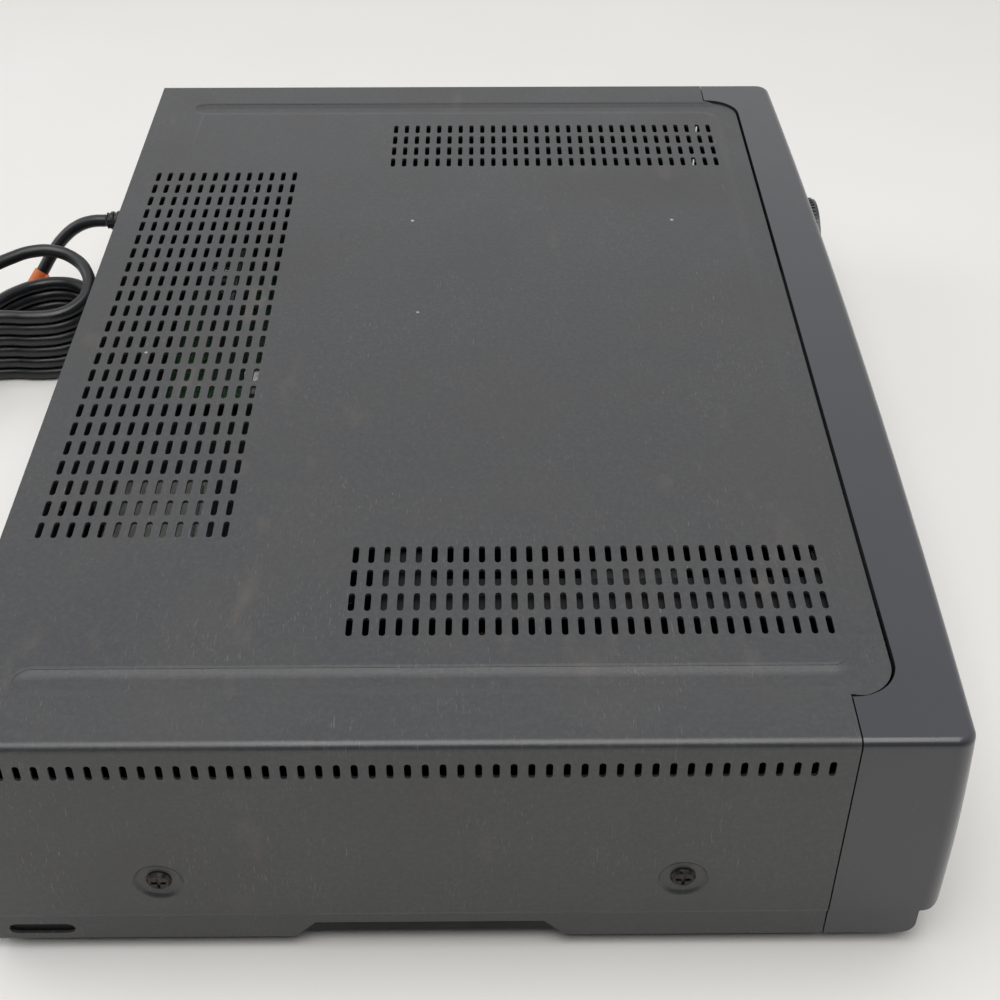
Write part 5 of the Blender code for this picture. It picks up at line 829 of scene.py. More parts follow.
def make_tie():
    """A soft twist tie: a flat band round the waist, pulled tight, with its two twisted ends."""
    half_x, low, high = 0.0102, 0.0002, 0.0369
    band = block("tie", (-half_x, -0.0022, low), (half_x, 0.0022, high), 0.0060, "Y", 6)
    pick_faces(band, lambda c, n: abs(n.y) > 0.9)
    bpy.ops.mesh.delete(type="FACE")
    done()
    finish_modifier(band, "SOLIDIFY", thickness=0.0007, offset=-1)
    soften(band, 0.0002, 40, 1)
    ends = []
    for k in range(2):
        twist = smooth_curve("twist", [Vector((-half_x - 0.0002, 0, 0.020)),
                                       Vector((-0.0125, 0.002 - 0.004 * k, 0.024)),
                                       Vector((-0.0145, -0.002 + 0.004 * k, 0.029)),
                                       Vector((-0.0150, 0.004 - 0.008 * k, 0.036))], 0.0009)
        take(twist)
        bpy.ops.object.convert(target="MESH")
        ends.append(bpy.context.object)
    return dress(join([band] + ends, "hank_tie"), TIE_BLUE)


tie = lay_on_hank(make_tie(), "hank_tie")


def make_tag():
    """A small blank marker flag, folded round the lead and pressed together."""
    flag = block("tag", (-0.0036, 0.0, -0.0002), (0.0100, 0.0105, 0.0002), 0.0012, "Z", 3)
    loop = round_bar("tag_loop", (0, 0), 0.0034, 0.0, 0.0105, "Y", 24)
    pick_faces(loop, lambda c, n: abs(n.y) > 0.9)
    bpy.ops.mesh.delete(type="FACE")
    done()
    finish_modifier(loop, "SOLIDIFY", thickness=0.0003, offset=1)
    return dress(soften(join([flag, loop], "lead_tag"), 0.0001, 40, 1), TAG_ORANGE)


TAG_FROM = Vector(LEAD_POINTS[6])
TAG_TO = Vector(LEAD_POINTS[5])
tag = make_tag()
along = (TAG_TO - TAG_FROM).normalized()
across = along.cross(Vector((0, 0, 1))).normalized()
turned = Matrix((across, along, across.cross(along))).transposed().to_4x4()
tag.matrix_world = Matrix.Translation(TAG_FROM) @ turned
settle(tag, "lead_tag")

for piece in (relief, plug, tie, tag):
    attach(piece, "root")
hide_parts("strain_relief")
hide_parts("mains_plug")
print("plug", count(plug), "relief", count(relief), "tie", count(tie), "tag", count(tag), "triangles")

# %% [markdown]
# ## The cover
# The cover is one bent steel sheet: a flat top with a pressed groove round it, two sides with a
# dimple for each screw and a jogged strip along the foot, and a tongue in front that slips into the
# bezel. It is shaped as a solid first, because a groove and a dimple are easy to cut into a solid.
# Then the faces that aren't sheet are deleted and the rest is given its thickness of 1 mm, so the
# inside follows every pressed form, and last the slots are punched through.

# %% Cover sizes
REAR_Y = 0.150
SEAM_Y = -0.1107
SIDE_X = 0.215
TOP_Z = 0.094
BASE_Z = 0.006
SHEET = 0.001
BEND = 0.0026
JOG_Z = 0.0178
JOG_DROP = 0.0013
JOG_IN = 0.0008
TONGUE_X = 0.196
TONGUE_Y = -0.1249
TONGUE_ROUND = 0.013
GROOVE_STEPS = ((0.0004, 0.00001), (0.0010, 0.00012), (0.0012, 0.00024), (0.0012, 0.00027), (0.0010, 0.00019),
                (0.0008, 0.00007))
GROOVE_IN_X = 0.1830
GROOVE_OUT_X = 0.1955
GROOVE_FRONT_Y = -0.1124
GROOVE_REAR_Y = 0.1265
GROOVE_CORNER = 0.0050
SCREW_YZ = ((0.093, 0.0345), (-0.065, 0.0345))
DIMPLE_RADIUS = 0.008
DIMPLE_STEPS = ((0.0003, 0.00008), (0.0004, 0.0003), (0.0004, 0.0004), (0.0004, 0.00018), (0.0004, 0.00004))


def groove_outline():
    """Once round the groove: its outer edge, past the tongue's front, and back along its inner edge."""
    middle_x = (GROOVE_IN_X + GROOVE_OUT_X) / 2
    end = (GROOVE_OUT_X - GROOVE_IN_X) / 2
    wide_x = TONGUE_X + 0.007
    front = TONGUE_Y - 0.007
    rim = [(GROOVE_OUT_X, SEAM_Y - 0.0006), (wide_x, SEAM_Y - 0.0006), (wide_x, front),
           (-wide_x, front), (-wide_x, SEAM_Y - 0.0006), (-GROOVE_OUT_X, SEAM_Y - 0.0006)]
    rim += arc((-middle_x, GROOVE_REAR_Y), end, 180, 0, 14)
    rim += arc((-GROOVE_IN_X + GROOVE_CORNER, GROOVE_FRONT_Y + GROOVE_CORNER), GROOVE_CORNER, 180, 270, 5)
    rim += arc((GROOVE_IN_X - GROOVE_CORNER, GROOVE_FRONT_Y + GROOVE_CORNER), GROOVE_CORNER, 270, 360, 5)
    rim += arc((middle_x, GROOVE_REAR_Y), end, 180, 0, 14)
    return rim


# %% Cover as a solid
def make_groove_cutter():
    """The groove as a solid: its outline, drawn down and inset in steps, so that its walls are soft."""
    cutter = outline("groove_cutter", groove_outline(), "Z", TOP_Z - 0.00001, TOP_Z + 0.004)
    for wide, deep in GROOVE_STEPS:
        pick_faces(cutter, lambda c, n: n.z < -0.999)
        bpy.ops.mesh.inset(thickness=wide, depth=deep, use_even_offset=True)
        done()
    return cutter


def make_dimple_cutter(side, y, z):
    wall = side * SIDE_X
    cutter = round_bar("dimple", (y, z), DIMPLE_RADIUS, wall - side * 0.00001, wall + side * 0.004, "X", 48)
    for wide, deep in DIMPLE_STEPS:
        pick_faces(cutter, lambda c, n: n.x * side < -0.99)
        bpy.ops.mesh.inset(thickness=wide, depth=deep, use_even_offset=True)
        done()
    return cutter


def make_cover_solid():
    solid = block("top_cover_sheet", (-SIDE_X, SEAM_Y, BASE_Z), (SIDE_X, REAR_Y, TOP_Z))
    pick_edges(solid, lambda a, b: min(a.z, b.z) > TOP_Z - MM and abs(a.y - b.y) > 0.1)
    bpy.ops.mesh.bevel(offset=BEND, segments=8, affect="EDGES")
    done()
    for z in (JOG_Z + JOG_DROP / 2, JOG_Z - JOG_DROP / 2):
        slice_across(solid, "Z", z)
    pick_edges(solid, lambda a, b: max(a.z, b.z) < JOG_Z)
    bpy.ops.transform.resize(value=(1 - JOG_IN / SIDE_X, 1, 1), center_override=(0, 0, 0))
    done()
    pick_edges(solid, lambda a, b: abs(a.y - b.y) > 0.1 and abs(abs(a.x) - SIDE_X + JOG_IN / 2) < JOG_IN
               and abs(a.z - JOG_Z) < JOG_DROP)
    bpy.ops.mesh.bevel(offset=0.0004, segments=2, affect="EDGES")
    done()
    tongue = block("tongue", (-TONGUE_X, TONGUE_Y, TOP_Z - 0.02), (TONGUE_X, SEAM_Y + 0.02, TOP_Z))
    pick_edges(tongue, lambda a, b: abs(a.z - b.z) > 0.01 and a.y < TONGUE_Y + MM)
    bpy.ops.mesh.bevel(offset=TONGUE_ROUND, segments=12, affect="EDGES")
    done()
    cut(solid, tongue, "UNION")
    cut(solid, make_groove_cutter())
    for side in (-1, 1):
        for y, z in SCREW_YZ:
            cut(solid, make_dimple_cutter(side, y, z))
    return clean(solid)


cover = make_cover_solid()
print("cover solid", len(cover.data.polygons), "faces")

# %% [markdown]
# The rear keeps a narrow lip all round, so its face is inset before the middle is taken out. The
# front, the underside and what stands below the tongue aren't sheet and go too. `Solidify` then
# thickens inwards only, so the outside stays where it was shaped.

# %% Cover as a sheet
LIP = 0.0024


def open_cover(sheet):
    pick_faces(sheet, lambda c, n: n.y > 0.99 and c.y > REAR_Y - MM)
    bpy.ops.mesh.inset(thickness=LIP, depth=0, use_even_offset=True)
    bpy.ops.mesh.delete(type="FACE")
    done()
    pick_faces(sheet, lambda c, n: n.z < -0.99 or (n.y < -0.99 and c.y > SEAM_Y - MM)
               or (c.y < SEAM_Y - 0.0001 and abs(n.z) < 0.2 and c.z < TOP_Z - 0.002))
    bpy.ops.mesh.delete(type="FACE")
    done()
    clean(sheet)
    finish_modifier(sheet, "SOLIDIFY", thickness=SHEET, offset=-1, use_even_offset=True,
                    use_quality_normals=True)
    return sheet


cover = open_cover(cover)
print("cover sheet", len(cover.data.polygons), "faces")

# %% [markdown]
# The slots are punched with round-ended tools, all in one stroke. One tool is modelled, and an
# Array modifier in two directions makes the block of them. The blocks are joined and cut at once.

# %% Slots and notches
SLOT_LONG = 0.008
SLOT_WIDE = 0.002
ROW_STEP = 0.011
COLUMN_STEP = 0.005
SLOT_FIELDS = ((-0.121, 0.1382 - 12 * COLUMN_STEP, 23, 13), (0.134, -0.1097, 4, 30), (-0.167, -0.1097, 4, 30))
SIDE_SLOT_Z = 0.0835
SIDE_SLOT_TALL = 0.006
SIDE_SLOT_START = -0.1037
SIDE_SLOTS = 50
NOTCH_REAR = 0.054
NOTCH_FRONT = -0.030
NOTCH_UP = 0.007
NOTCH_SLOPE = 0.0066
VENT_YZ = (0.1323, 0.01075)
VENT_LONG = 0.0206
VENT_TALL = 0.0045
SCREW_HOLE = 0.0019
THROUGH = 0.004


def slot_outline(middle, long, wide, steps=4):
    """A slot with round ends. middle gives its two coordinates; it is long along the first."""
    half = (long - wide) / 2
    right = arc((middle[0] + half, middle[1]), wide / 2, -90, 90, steps)
    left = arc((middle[0] - half, middle[1]), wide / 2, 90, 270, steps)
    return right + left


def punch_field(x, y, rows, columns):
    tool = outline("punch", slot_outline((x, y), SLOT_LONG, SLOT_WIDE), "Z", TOP_Z - 0.0035, TOP_Z + 0.002)
    for number, step in ((rows, (ROW_STEP, 0, 0)), (columns, (0, COLUMN_STEP, 0))):
        finish_modifier(tool, "ARRAY", count=number, use_relative_offset=False, use_constant_offset=True,
                        constant_offset_displace=step)
    return tool


def punch_side(side):
    start = side * (SIDE_X - 0.003)
    tool = outline("side_punch", [(b, a) for a, b in slot_outline((SIDE_SLOT_Z, SIDE_SLOT_START),
                   SIDE_SLOT_TALL, SLOT_WIDE)], "X", start, side * (SIDE_X + 0.002))
    return finish_modifier(tool, "ARRAY", count=SIDE_SLOTS, use_relative_offset=False,
                           use_constant_offset=True, constant_offset_displace=(0, COLUMN_STEP, 0))


def foot_notch(side):
    """The slanted notch in the foot of the side, where a hand can lift the cover."""
    below = BASE_Z - 0.002
    top = BASE_Z + NOTCH_UP
    corners = [(NOTCH_REAR, below), (NOTCH_REAR, BASE_Z), (NOTCH_REAR - NOTCH_SLOPE, top),
               (NOTCH_FRONT + NOTCH_SLOPE, top), (NOTCH_FRONT, BASE_Z), (NOTCH_FRONT, below)]
    return outline("notch", corners, "X", side * (SIDE_X - THROUGH), side * (SIDE_X + THROUGH))


punches = [punch_field(*field) for field in SLOT_FIELDS]
for side in (-1, 1):
    punches.append(punch_side(side))
    punches.append(foot_notch(side))
    punches.append(outline("vent", slot_outline(VENT_YZ, VENT_LONG, VENT_TALL), "X",
                           side * (SIDE_X - THROUGH), side * (SIDE_X + 0.003)))
    for y, z in SCREW_YZ:
        punches.append(round_bar("screw_hole", (y, z), SCREW_HOLE, side * (SIDE_X - 0.006), side * SIDE_X,
                                 "X", 20))
cut(cover, join(punches, "punches"))
soften(cover, 0.00016, 50, 1, 28, flat=lambda c, n: max(abs(n.x), abs(n.z)) > 0.99998)
dress(cover, PAINT)
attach(cover, "root")
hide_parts("top_cover")
print("cover", count(cover), "triangles")

# %% [markdown]
# ## The bezel
# The bezel is one moulding: a slightly bowed front that also leans back towards the top, round
# upright corners, and a plinth that is set back under it. Its plan is drawn as an outline and raised;
# the top edge is then rounded by insetting the top face in small steps, which rounds the corners with
# it. The lean comes from scaling level by level towards the seam, and the plinth from one swept cut.

# %% Bezel form
FRONT_Y = -0.1495
BOW = 0.0030
BOW_REACH = 0.197
LEAN = 0.0025
LEAN_FROM = 0.040
CORNER = 0.0065
TOP_ROUND = 0.0027
LIP_Z = 0.018
LIP_ROUND = 0.0050
PLINTH_BACK = 0.0068
PLINTH_ROUND = 0.0045
FORM_LEVELS = (0.030, 0.040, 0.047, 0.054, 0.061, 0.068, 0.075, 0.082, 0.087)
ROUND_STEPS = 7
BOW_STEPS = 28


def lean(z):
    """How far the face stands back at a height."""
    share = max(z - LEAN_FROM, 0) / (TOP_Z - LEAN_FROM)
    return LEAN * share ** 1.7


def face_y(x, z):
    return FRONT_Y + BOW * (x / BOW_REACH) ** 2 + lean(z)


def plan_outline():
    flat = SIDE_X - CORNER
    stations = [-flat + 2 * flat * k / BOW_STEPS for k in range(BOW_STEPS + 1)]
    front = [(x, FRONT_Y + BOW * (x / BOW_REACH) ** 2) for x in stations]
    corner_y = front[-1][1] + CORNER
    right = arc((flat, corner_y), CORNER, -84, 0, 8)
    left = arc((-flat, corner_y), CORNER, 180, 264, 8)
    return left + front[1:-1] + right + [(SIDE_X, SEAM_Y + 0.02), (-SIDE_X, SEAM_Y + 0.02)]


def make_front_form():
    """The whole outer form as a solid, which the bezel, the door and the window are all cut from."""
    form = outline("front_form", plan_outline(), "Z", BASE_Z, TOP_Z - TOP_ROUND)
    for k in range(ROUND_STEPS):
        a, b = (math.radians(90 * j / ROUND_STEPS) for j in (k, k + 1))
        pick_faces(form, lambda c, n: n.z > 0.999)
        bpy.ops.mesh.inset(thickness=TOP_ROUND * (math.cos(a) - math.cos(b)),
                           depth=TOP_ROUND * (math.sin(b) - math.sin(a)), use_even_offset=True)
        done()
    for z in FORM_LEVELS:
        slice_across(form, "Z", z)
    mesh = edit(form, "VERT")
    heights = sorted({round(v.co.z, 6) for v in mesh.verts if v.co.z > LEAN_FROM})
    done()
    for z in heights:
        mesh = edit(form, "VERT")
        for vertex in mesh.verts:
            vertex.select_set(abs(vertex.co.z - z) < 2e-6 and vertex.co.y < SEAM_Y)
        bmesh.update_edit_mesh(form.data)
        share = 1 - lean(z) / (SEAM_Y - FRONT_Y)
        bpy.ops.transform.resize(value=(1, share, 1), center_override=(0, SEAM_Y, z))
        done()
    return form


def make_under_cutter():
    """What is missing below the face: a section swept across the width along the bow."""
    y = FRONT_Y
    section = [(y - 0.02, BASE_Z - 0.01), (y - 0.02, LIP_Z + LIP_ROUND)]
    section += arc((y + LIP_ROUND, LIP_Z + LIP_ROUND), LIP_ROUND, 178, 270, 10)
    section += [(y + PLINTH_BACK, LIP_Z)]
    section += arc((y + PLINTH_BACK + PLINTH_ROUND, BASE_Z + PLINTH_ROUND), PLINTH_ROUND, 180, 268, 8)
    section += [(y + PLINTH_BACK + PLINTH_ROUND, BASE_Z - 0.01)]
    half = SIDE_X + 0.003
    xs = [-half + 2 * half * k / BOW_STEPS for k in range(BOW_STEPS + 1)]
    bows = [BOW * (min(abs(x), SIDE_X - CORNER) / BOW_REACH) ** 2 for x in xs]
    cutter = outline("under_cutter", [(a + bows[0], b) for a, b in section], "X", xs[0], xs[0] + 0.00001)
    for x, bow, before in zip(xs[1:], bows[1:], bows):
        pick_faces(cutter, lambda c, n: n.x > 0.5)
        start = x - 2 * half / BOW_STEPS + (0.00001 if x == xs[1] else 0)
        bpy.ops.mesh.extrude_region_move(TRANSFORM_OT_translate={"value": (x - start, bow - before, 0)})
        done()
    return clean(cutter, 1e-7)


front_form = make_front_form()
cut(front_form, make_under_cutter())
for side in (-1, 1):
    low, high = sorted((side * (SIDE_X - JOG_IN), side * (SIDE_X + 0.01)))
    cut(front_form, block("strip", (low, -0.2, BASE_Z - 0.01), (high, SEAM_Y + 0.03, JOG_Z)))
clean(front_form)
print("front form", len(front_form.data.polygons), "faces")

# %% [markdown]
# The bezel is then hollowed from behind and opened for the cassette door, the window, the keys, the
# dial and the cover's tongue. The lower edge of the door's opening is cut along the circle that the
# door's own lower edge swings through, so the door clears it.

# %% Bezel sizes
DECK_X = -0.058
DOOR_HALF = 0.098
DOOR_Z = (0.054, 0.090)
DOOR_BACK = -0.1425
HINGE_YZ = (-0.1373, 0.087)
DOOR_SWING = 0.0356
WINDOW_HALF = 0.060
WINDOW_Z = (0.028, 0.048)
GAP = 0.0004
DIAL_X = 0.1305
DIAL_Z = 0.052
BOSS_RADIUS = 0.026
BOSS_FACE = -0.1466
BUTTONS = {
    "power_button": (-0.188, 0.066, 0.022, 0.009), "eject_button": (0.070, 0.070, 0.020, 0.007),
    "rewind_button": (0.055, 0.046, 0.014, 0.008), "play_button": (0.074, 0.046, 0.018, 0.008),
    "forward_button": (0.093, 0.046, 0.014, 0.008), "stop_button": (0.074, 0.033, 0.018, 0.008),
    "pause_button": (0.093, 0.033, 0.014, 0.008), "record_button": (0.055, 0.033, 0.014, 0.008),
}
AHEAD = -0.17
SEAM_GAP = 0.00045
CAVITY_FRONT = -0.1385
CAVITY_HALF = 0.2115
BEHIND = -0.13
SHAFT_HOLE = 0.0072


# %% Bezel
def make_bezel():
    bezel = copy_of(front_form, "front_bezel_moulding")
    cut(bezel, block("behind", (-0.25, SEAM_Y - SEAM_GAP, -0.01), (0.25, SEAM_Y + 0.05, 0.12)))
    hollow = block("hollow", (-CAVITY_HALF, CAVITY_FRONT, BASE_Z - 0.002),
                   (CAVITY_HALF, SEAM_Y + 0.01, 0.0905), 0.004, "Z", 4)
    cut(bezel, hollow)
    sill = block("sill", (-CAVITY_HALF, CAVITY_FRONT - 0.0005, BASE_Z - 0.003),
                 (CAVITY_HALF, -0.1310, BASE_Z + 0.0025))
    cut(bezel, sill, "UNION")
    cut(bezel, block("sill_trim", (-0.3, -0.2, BASE_Z - 0.01), (0.3, -0.1, BASE_Z)))
    openings = []
    tongue = block("tongue", (-TONGUE_X - 0.001, TONGUE_Y - 0.001, 0.085),
                   (TONGUE_X + 0.001, SEAM_Y + 0.02, TOP_Z + 0.01))
    pick_edges(tongue, lambda a, b: abs(a.z - b.z) > 0.01 and a.y < TONGUE_Y + MM)
    bpy.ops.mesh.bevel(offset=TONGUE_ROUND + 0.001, segments=12, affect="EDGES")
    done()
    openings.append(tongue)
    openings.append(block("door_opening", (DECK_X - DOOR_HALF - GAP, AHEAD, DOOR_Z[0] - GAP),
                          (DECK_X + DOOR_HALF + GAP, BEHIND, DOOR_Z[1] + GAP), 0.0012, "Y", 3))
    openings.append(block("window_opening", (DECK_X - WINDOW_HALF - GAP / 2, AHEAD, WINDOW_Z[0] - GAP / 2),
                          (DECK_X + WINDOW_HALF + GAP / 2, BEHIND, WINDOW_Z[1] + GAP / 2), 0.0012, "Y", 3))
    for x, rise, width, height in BUTTONS.values():
        z = BASE_Z + rise
        openings.append(block("key_opening", (x - width / 2 - GAP, AHEAD, z - height / 2 - GAP),
                              (x + width / 2 + GAP, BEHIND, z + height / 2 + GAP), 0.0016, "Y", 3))
    for opening in openings:
        cut(bezel, opening)
    swing = round_bar("door_swing", HINGE_YZ, DOOR_SWING, DECK_X - DOOR_HALF - GAP,
                      DECK_X + DOOR_HALF + GAP, "X", 96)
    cut(swing, block("above", (-0.3, -0.3, DOOR_Z[0] + 0.002), (0.3, 0.3, 0.2)))
    cut(bezel, swing)
    cut(bezel, round_bar("dial_recess", (DIAL_X, DIAL_Z), BOSS_RADIUS, AHEAD, BOSS_FACE, "Y", 72))
    cut(bezel, round_bar("dial_hole", (DIAL_X, DIAL_Z), SHAFT_HOLE, AHEAD, BEHIND, "Y", 32))
    return clean(bezel)


bezel = make_bezel()
soften(bezel, 0.00035, 38, 2, 30)
dress(bezel, BEZEL_PLASTIC)
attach(bezel, "root")
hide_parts("front_bezel")
print("bezel", count(bezel), "triangles")

# %% [markdown]
# The door and the window continue the face, so each is the same form crossed with a block of its own
# outline. The door hangs on two ears behind the face, and a thin groove is cut across it near its
# lower edge.

# %% Door and window
def crossed(name, low, high, radius):
    piece = copy_of(front_form, name)
    cut(piece, block("keep", low, high, radius, "Y", 4), "INTERSECT")
    return clean(piece)


def make_door():
    door = crossed("cassette_door_panel", (DECK_X - DOOR_HALF, AHEAD, DOOR_Z[0]),
                   (DECK_X + DOOR_HALF, DOOR_BACK, DOOR_Z[1]), 0.0012)
    groove = block("line", (DECK_X - DOOR_HALF + 0.006, AHEAD, 0.0598), (DECK_X + DOOR_HALF - 0.006,
                   face_y(DECK_X, 0.06) + 0.0007, 0.0606), 0.0003, "Y", 2)
    cut(door, groove)
    ears = []
    for side in (-1, 1):
        outer = DECK_X + side * DOOR_HALF
        low, high = sorted((outer, outer - side * 0.0022))
        ear = block("ear", (low, DOOR_BACK - 0.001, 0.0815), (high, HINGE_YZ[0] + 0.0030, 0.0895),
                    0.0026, "X", 4)
        ears.append(soften(ear, 0.0003, 40, 2))
        pin_low, pin_high = sorted((outer - side * 0.0010, outer - side * 0.0042))
        pin = round_bar("pin", HINGE_YZ, 0.0013, pin_low, pin_high, "X", 24)
        ears.append(soften(pin, 0.0002, 40, 1))
    soften(door, 0.0004, 38, 2, 30)
    return join([door] + ears, "cassette_door_panel")


door = dress(make_door(), BEZEL_PLASTIC)
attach(door, "door")
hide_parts("cassette_door")
pane = crossed("display_pane", (DECK_X - WINDOW_HALF, AHEAD, WINDOW_Z[0]),
               (DECK_X + WINDOW_HALF, -0.1445, WINDOW_Z[1]), 0.001)
soften(pane, 0.0003, 38, 2, 30)
dress(pane, WINDOW)
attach(pane, "root")
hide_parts("display_window")
print("door", count(door), "window", count(pane), "triangles")

# %% [markdown]
# Each key is a rounded cap with a dished top, a flange behind the bezel that keeps it in, and a stem
# that reaches its switch. They stand a little proud of the face.

# %% Keys
KEY_PROUD = 0.0013
KEY_STEM_END = -0.1318


def make_key(name, x, rise, width, height):
    z = BASE_Z + rise
    front = face_y(x, z) - KEY_PROUD
    cap = block(name, (x - width / 2, front, z - height / 2),
                (x + width / 2, CAVITY_FRONT - 0.0002, z + height / 2), 0.0013, "Y", 4)
    for wide, deep in ((0.0009, -0.00008), (0.0008, -0.00012)):
        pick_faces(cap, lambda c, n: n.y < -0.99)
        bpy.ops.mesh.inset(thickness=wide, depth=deep, use_even_offset=True)
        done()
    soften(cap, 0.00045, 45, 3)
    reach = 0.0008
    flange = block("flange", (x - width / 2 - reach, CAVITY_FRONT - 0.0001, z - height / 2 - reach),
                   (x + width / 2 + reach, CAVITY_FRONT + 0.0009, z + height / 2 + reach), 0.001, "Y", 2)
    stem = round_bar("stem", (x, z), 0.0016, CAVITY_FRONT, KEY_STEM_END, "Y", 20)
    key = join([cap, soften(flange, 0.0002, 40, 1), soften(stem, 0.0002, 40, 1)], name + "_cap")
    return dress(key, DARK_PLASTIC)


for name, facts in BUTTONS.items():
    key = make_key(name, *facts)
    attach(key, name)
    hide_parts(name)
print("keys", len(BUTTONS))

# %% [markdown]
# The dial is two controls on one axis: an outer shuttle ring with a ribbed edge, and a jog disc
# inside it with a finger dish. A silver trim ring lies behind them in the recess. The ribs are one
# small bar, copied and turned step by step round the axis, which an Array could do as well.

# %% Dial
RING_FRONT = -0.1572
RING_RADIUS = 0.0225
RING_BORE = 0.0155
JOG_RADIUS = 0.0150
JOG_FRONT = -0.1579
RIBS = 60


def copies_round(piece, number, centre):
    """Turns copies of the piece all round the Y axis through the centre and joins them."""
    pieces = [piece]
    for k in range(1, number):
        twin = copy_of(piece, "rib")
        turn = Matrix.Rotation(2 * math.pi * k / number, 4, "Y")
        place = Matrix.Translation(centre)
        twin.matrix_world = place @ turn @ place.inverted()
        pieces.append(settle(twin, "rib"))
    return join(pieces, piece.name)


def make_shuttle_ring():
    ring = round_bar("shuttle_ring_cap", (DIAL_X, DIAL_Z), RING_RADIUS - 0.0006, BOSS_FACE - 0.0018,
                     RING_FRONT, "Y", 96)
    cut(ring, round_bar("bore", (DIAL_X, DIAL_Z), RING_BORE, AHEAD, BOSS_FACE - 0.0030, "Y", 72))
    cut(ring, round_bar("mark", (DIAL_X, DIAL_Z + 0.0190), 0.0012, AHEAD, RING_FRONT + 0.0005, "Y", 24))
    soften(ring, 0.0008, 40, 3)
    rib = block("rib", (DIAL_X - 0.0005, RING_FRONT + 0.0014, DIAL_Z + RING_RADIUS - 0.0014),
                (DIAL_X + 0.0005, BOSS_FACE - 0.0026, DIAL_Z + RING_RADIUS), 0.0004, "Y", 2)
    ribs = copies_round(rib, RIBS, (DIAL_X, 0, DIAL_Z))
    collar = round_bar("collar", (DIAL_X, DIAL_Z), 0.0065, BOSS_FACE - 0.002, -0.1318, "Y", 32)
    return dress(join([ring, ribs, collar], "shuttle_ring_cap"), KNOB_PLASTIC)


def make_jog():
    disc = round_bar("jog_dial_cap", (DIAL_X, DIAL_Z), JOG_RADIUS, BOSS_FACE - 0.0034, JOG_FRONT, "Y", 96)
    for wide, deep in ((0.0012, -0.0001), (0.0012, -0.0004), (0.0020, -0.0002)):
        pick_faces(disc, lambda c, n: n.y < -0.99)
        bpy.ops.mesh.inset(thickness=wide, depth=deep, use_even_offset=True)
        done()
    clear_selection()
    bpy.ops.mesh.primitive_uv_sphere_add(segments=40, ring_count=20, radius=0.0075,
                                         location=(DIAL_X, JOG_FRONT - 0.0052, DIAL_Z + 0.0072))
    dish = settle(bpy.context.object, "dish")
    cut(disc, dish)
    soften(disc, 0.0004, 40, 2)
    return dress(disc, KNOB_PLASTIC)


def make_trim():
    trim = round_bar("dial_trim", (DIAL_X, DIAL_Z), 0.0245, BOSS_FACE - 0.0002, BOSS_FACE - 0.0017, "Y", 96)
    cut(trim, round_bar("bore", (DIAL_X, DIAL_Z), SHAFT_HOLE, AHEAD, 0, "Y", 32))
    soften(trim, 0.0004, 40, 2)
    return dress(trim, SILVER_TRIM)


for piece, body, node in ((make_shuttle_ring(), "shuttle_ring", "shuttle_ring"),
                          (make_jog(), "jog_dial", "jog_dial"), (make_trim(), "root", "dial_trim_ring")):
    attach(piece, body)
    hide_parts(node)
    print(piece.name, count(piece), "triangles")
bpy.data.objects.remove(front_form)

# %% [markdown]
# ## Behind the cover, the rear and the underside
# What shows through the slots, at the rear and below keeps its imported shape and gets a finish.
# The chassis, the deck plate and the housing top are painted near black as painted shade, so that
# the slots and the foot notch read dark. Each imported mesh is loose triangles, so a Weld modifier
# joins them before a Bevel modifier rounds the edges. The mesh itself isn't touched.

# %% Finishes of the imported parts
REAR_PAINT = make_plain_plastic("rear_paint", (46, 47, 49), 0.5)
SOCKET_PLASTIC = make_plain_plastic("socket_plastic", (26, 26, 27), 0.4)
LAMINATE = make_metal("transformer_iron", (96, 92, 88), 0.5, (1, 1, 60), 0.00006, stain=(120, 100, 80))
# Steel painted near black: painted shade, so that what shows through the slots and the foot notch reads dark.
SHADE_BLACK_STEEL = make_plain_plastic("steel_black_as_painted_shade", (17, 17, 18), 0.6, 0.3)
FINISH_OF = {
    "bottom_chassis": SHADE_BLACK_STEEL, "rear_panel": REAR_PAINT, "capstan_bearing": BRASS,
    "capstan_flywheel": MIRROR_STEEL, "cassette_holder": STEEL, "deck_plate": SHADE_BLACK_STEEL,
    "erase_head": MIRROR_STEEL, "front_board": BOARD, "heat_sink": ALUMINIUM,
    "housing_side_left": SOCKET_PLASTIC, "housing_side_right": SOCKET_PLASTIC, "housing_top": SHADE_BLACK_STEEL,
    "idler_arm": NYLON, "idler_wheel": RUBBER, "loading_motor": STEEL,
    "loading_post_left": NYLON, "loading_post_right": NYLON, "loading_worm": NYLON,
    "lower_drum": ALUMINIUM, "main_board": BOARD, "pinch_arm": STEEL, "pinch_roller": RUBBER,
    "slide_frame": STEEL, "sound_head": MIRROR_STEEL, "supply_reel": DARK_PLASTIC,
    "takeup_reel": DARK_PLASTIC, "tension_arm": BRASS, "transformer": LAMINATE, "tuner_can": STEEL,
    "upper_drum": MIRROR_STEEL, "worm_wheel": NYLON, "aerial_block": STEEL,
    "foot_front_left": RUBBER, "foot_front_right": RUBBER, "foot_rear_left": RUBBER,
    "foot_rear_right": RUBBER, "cover_screw_front_left": BLACK_SCREW, "cover_screw_rear_left": BLACK_SCREW,
    "cover_screw_front_right": BLACK_SCREW, "cover_screw_rear_right": BLACK_SCREW,
}
WELD_REACH = 0.00002
NODE_EDGE = 0.0002


def dress_node(name, material):
    node = NODES[name]
    node.data.materials.clear()
    node.data.materials.append(material)
    weld = node.modifiers.new("weld", "WELD")
    weld.merge_threshold = WELD_REACH
    bevel = node.modifiers.new("edge", "BEVEL")
    bevel.width = NODE_EDGE
    bevel.segments = 1
    bevel.limit_method = "ANGLE"
    bevel.angle_limit = math.radians(42)


for name, material in FINISH_OF.items():
    dress_node(name, material)
print("packed parts dressed:", len(FINISH_OF))

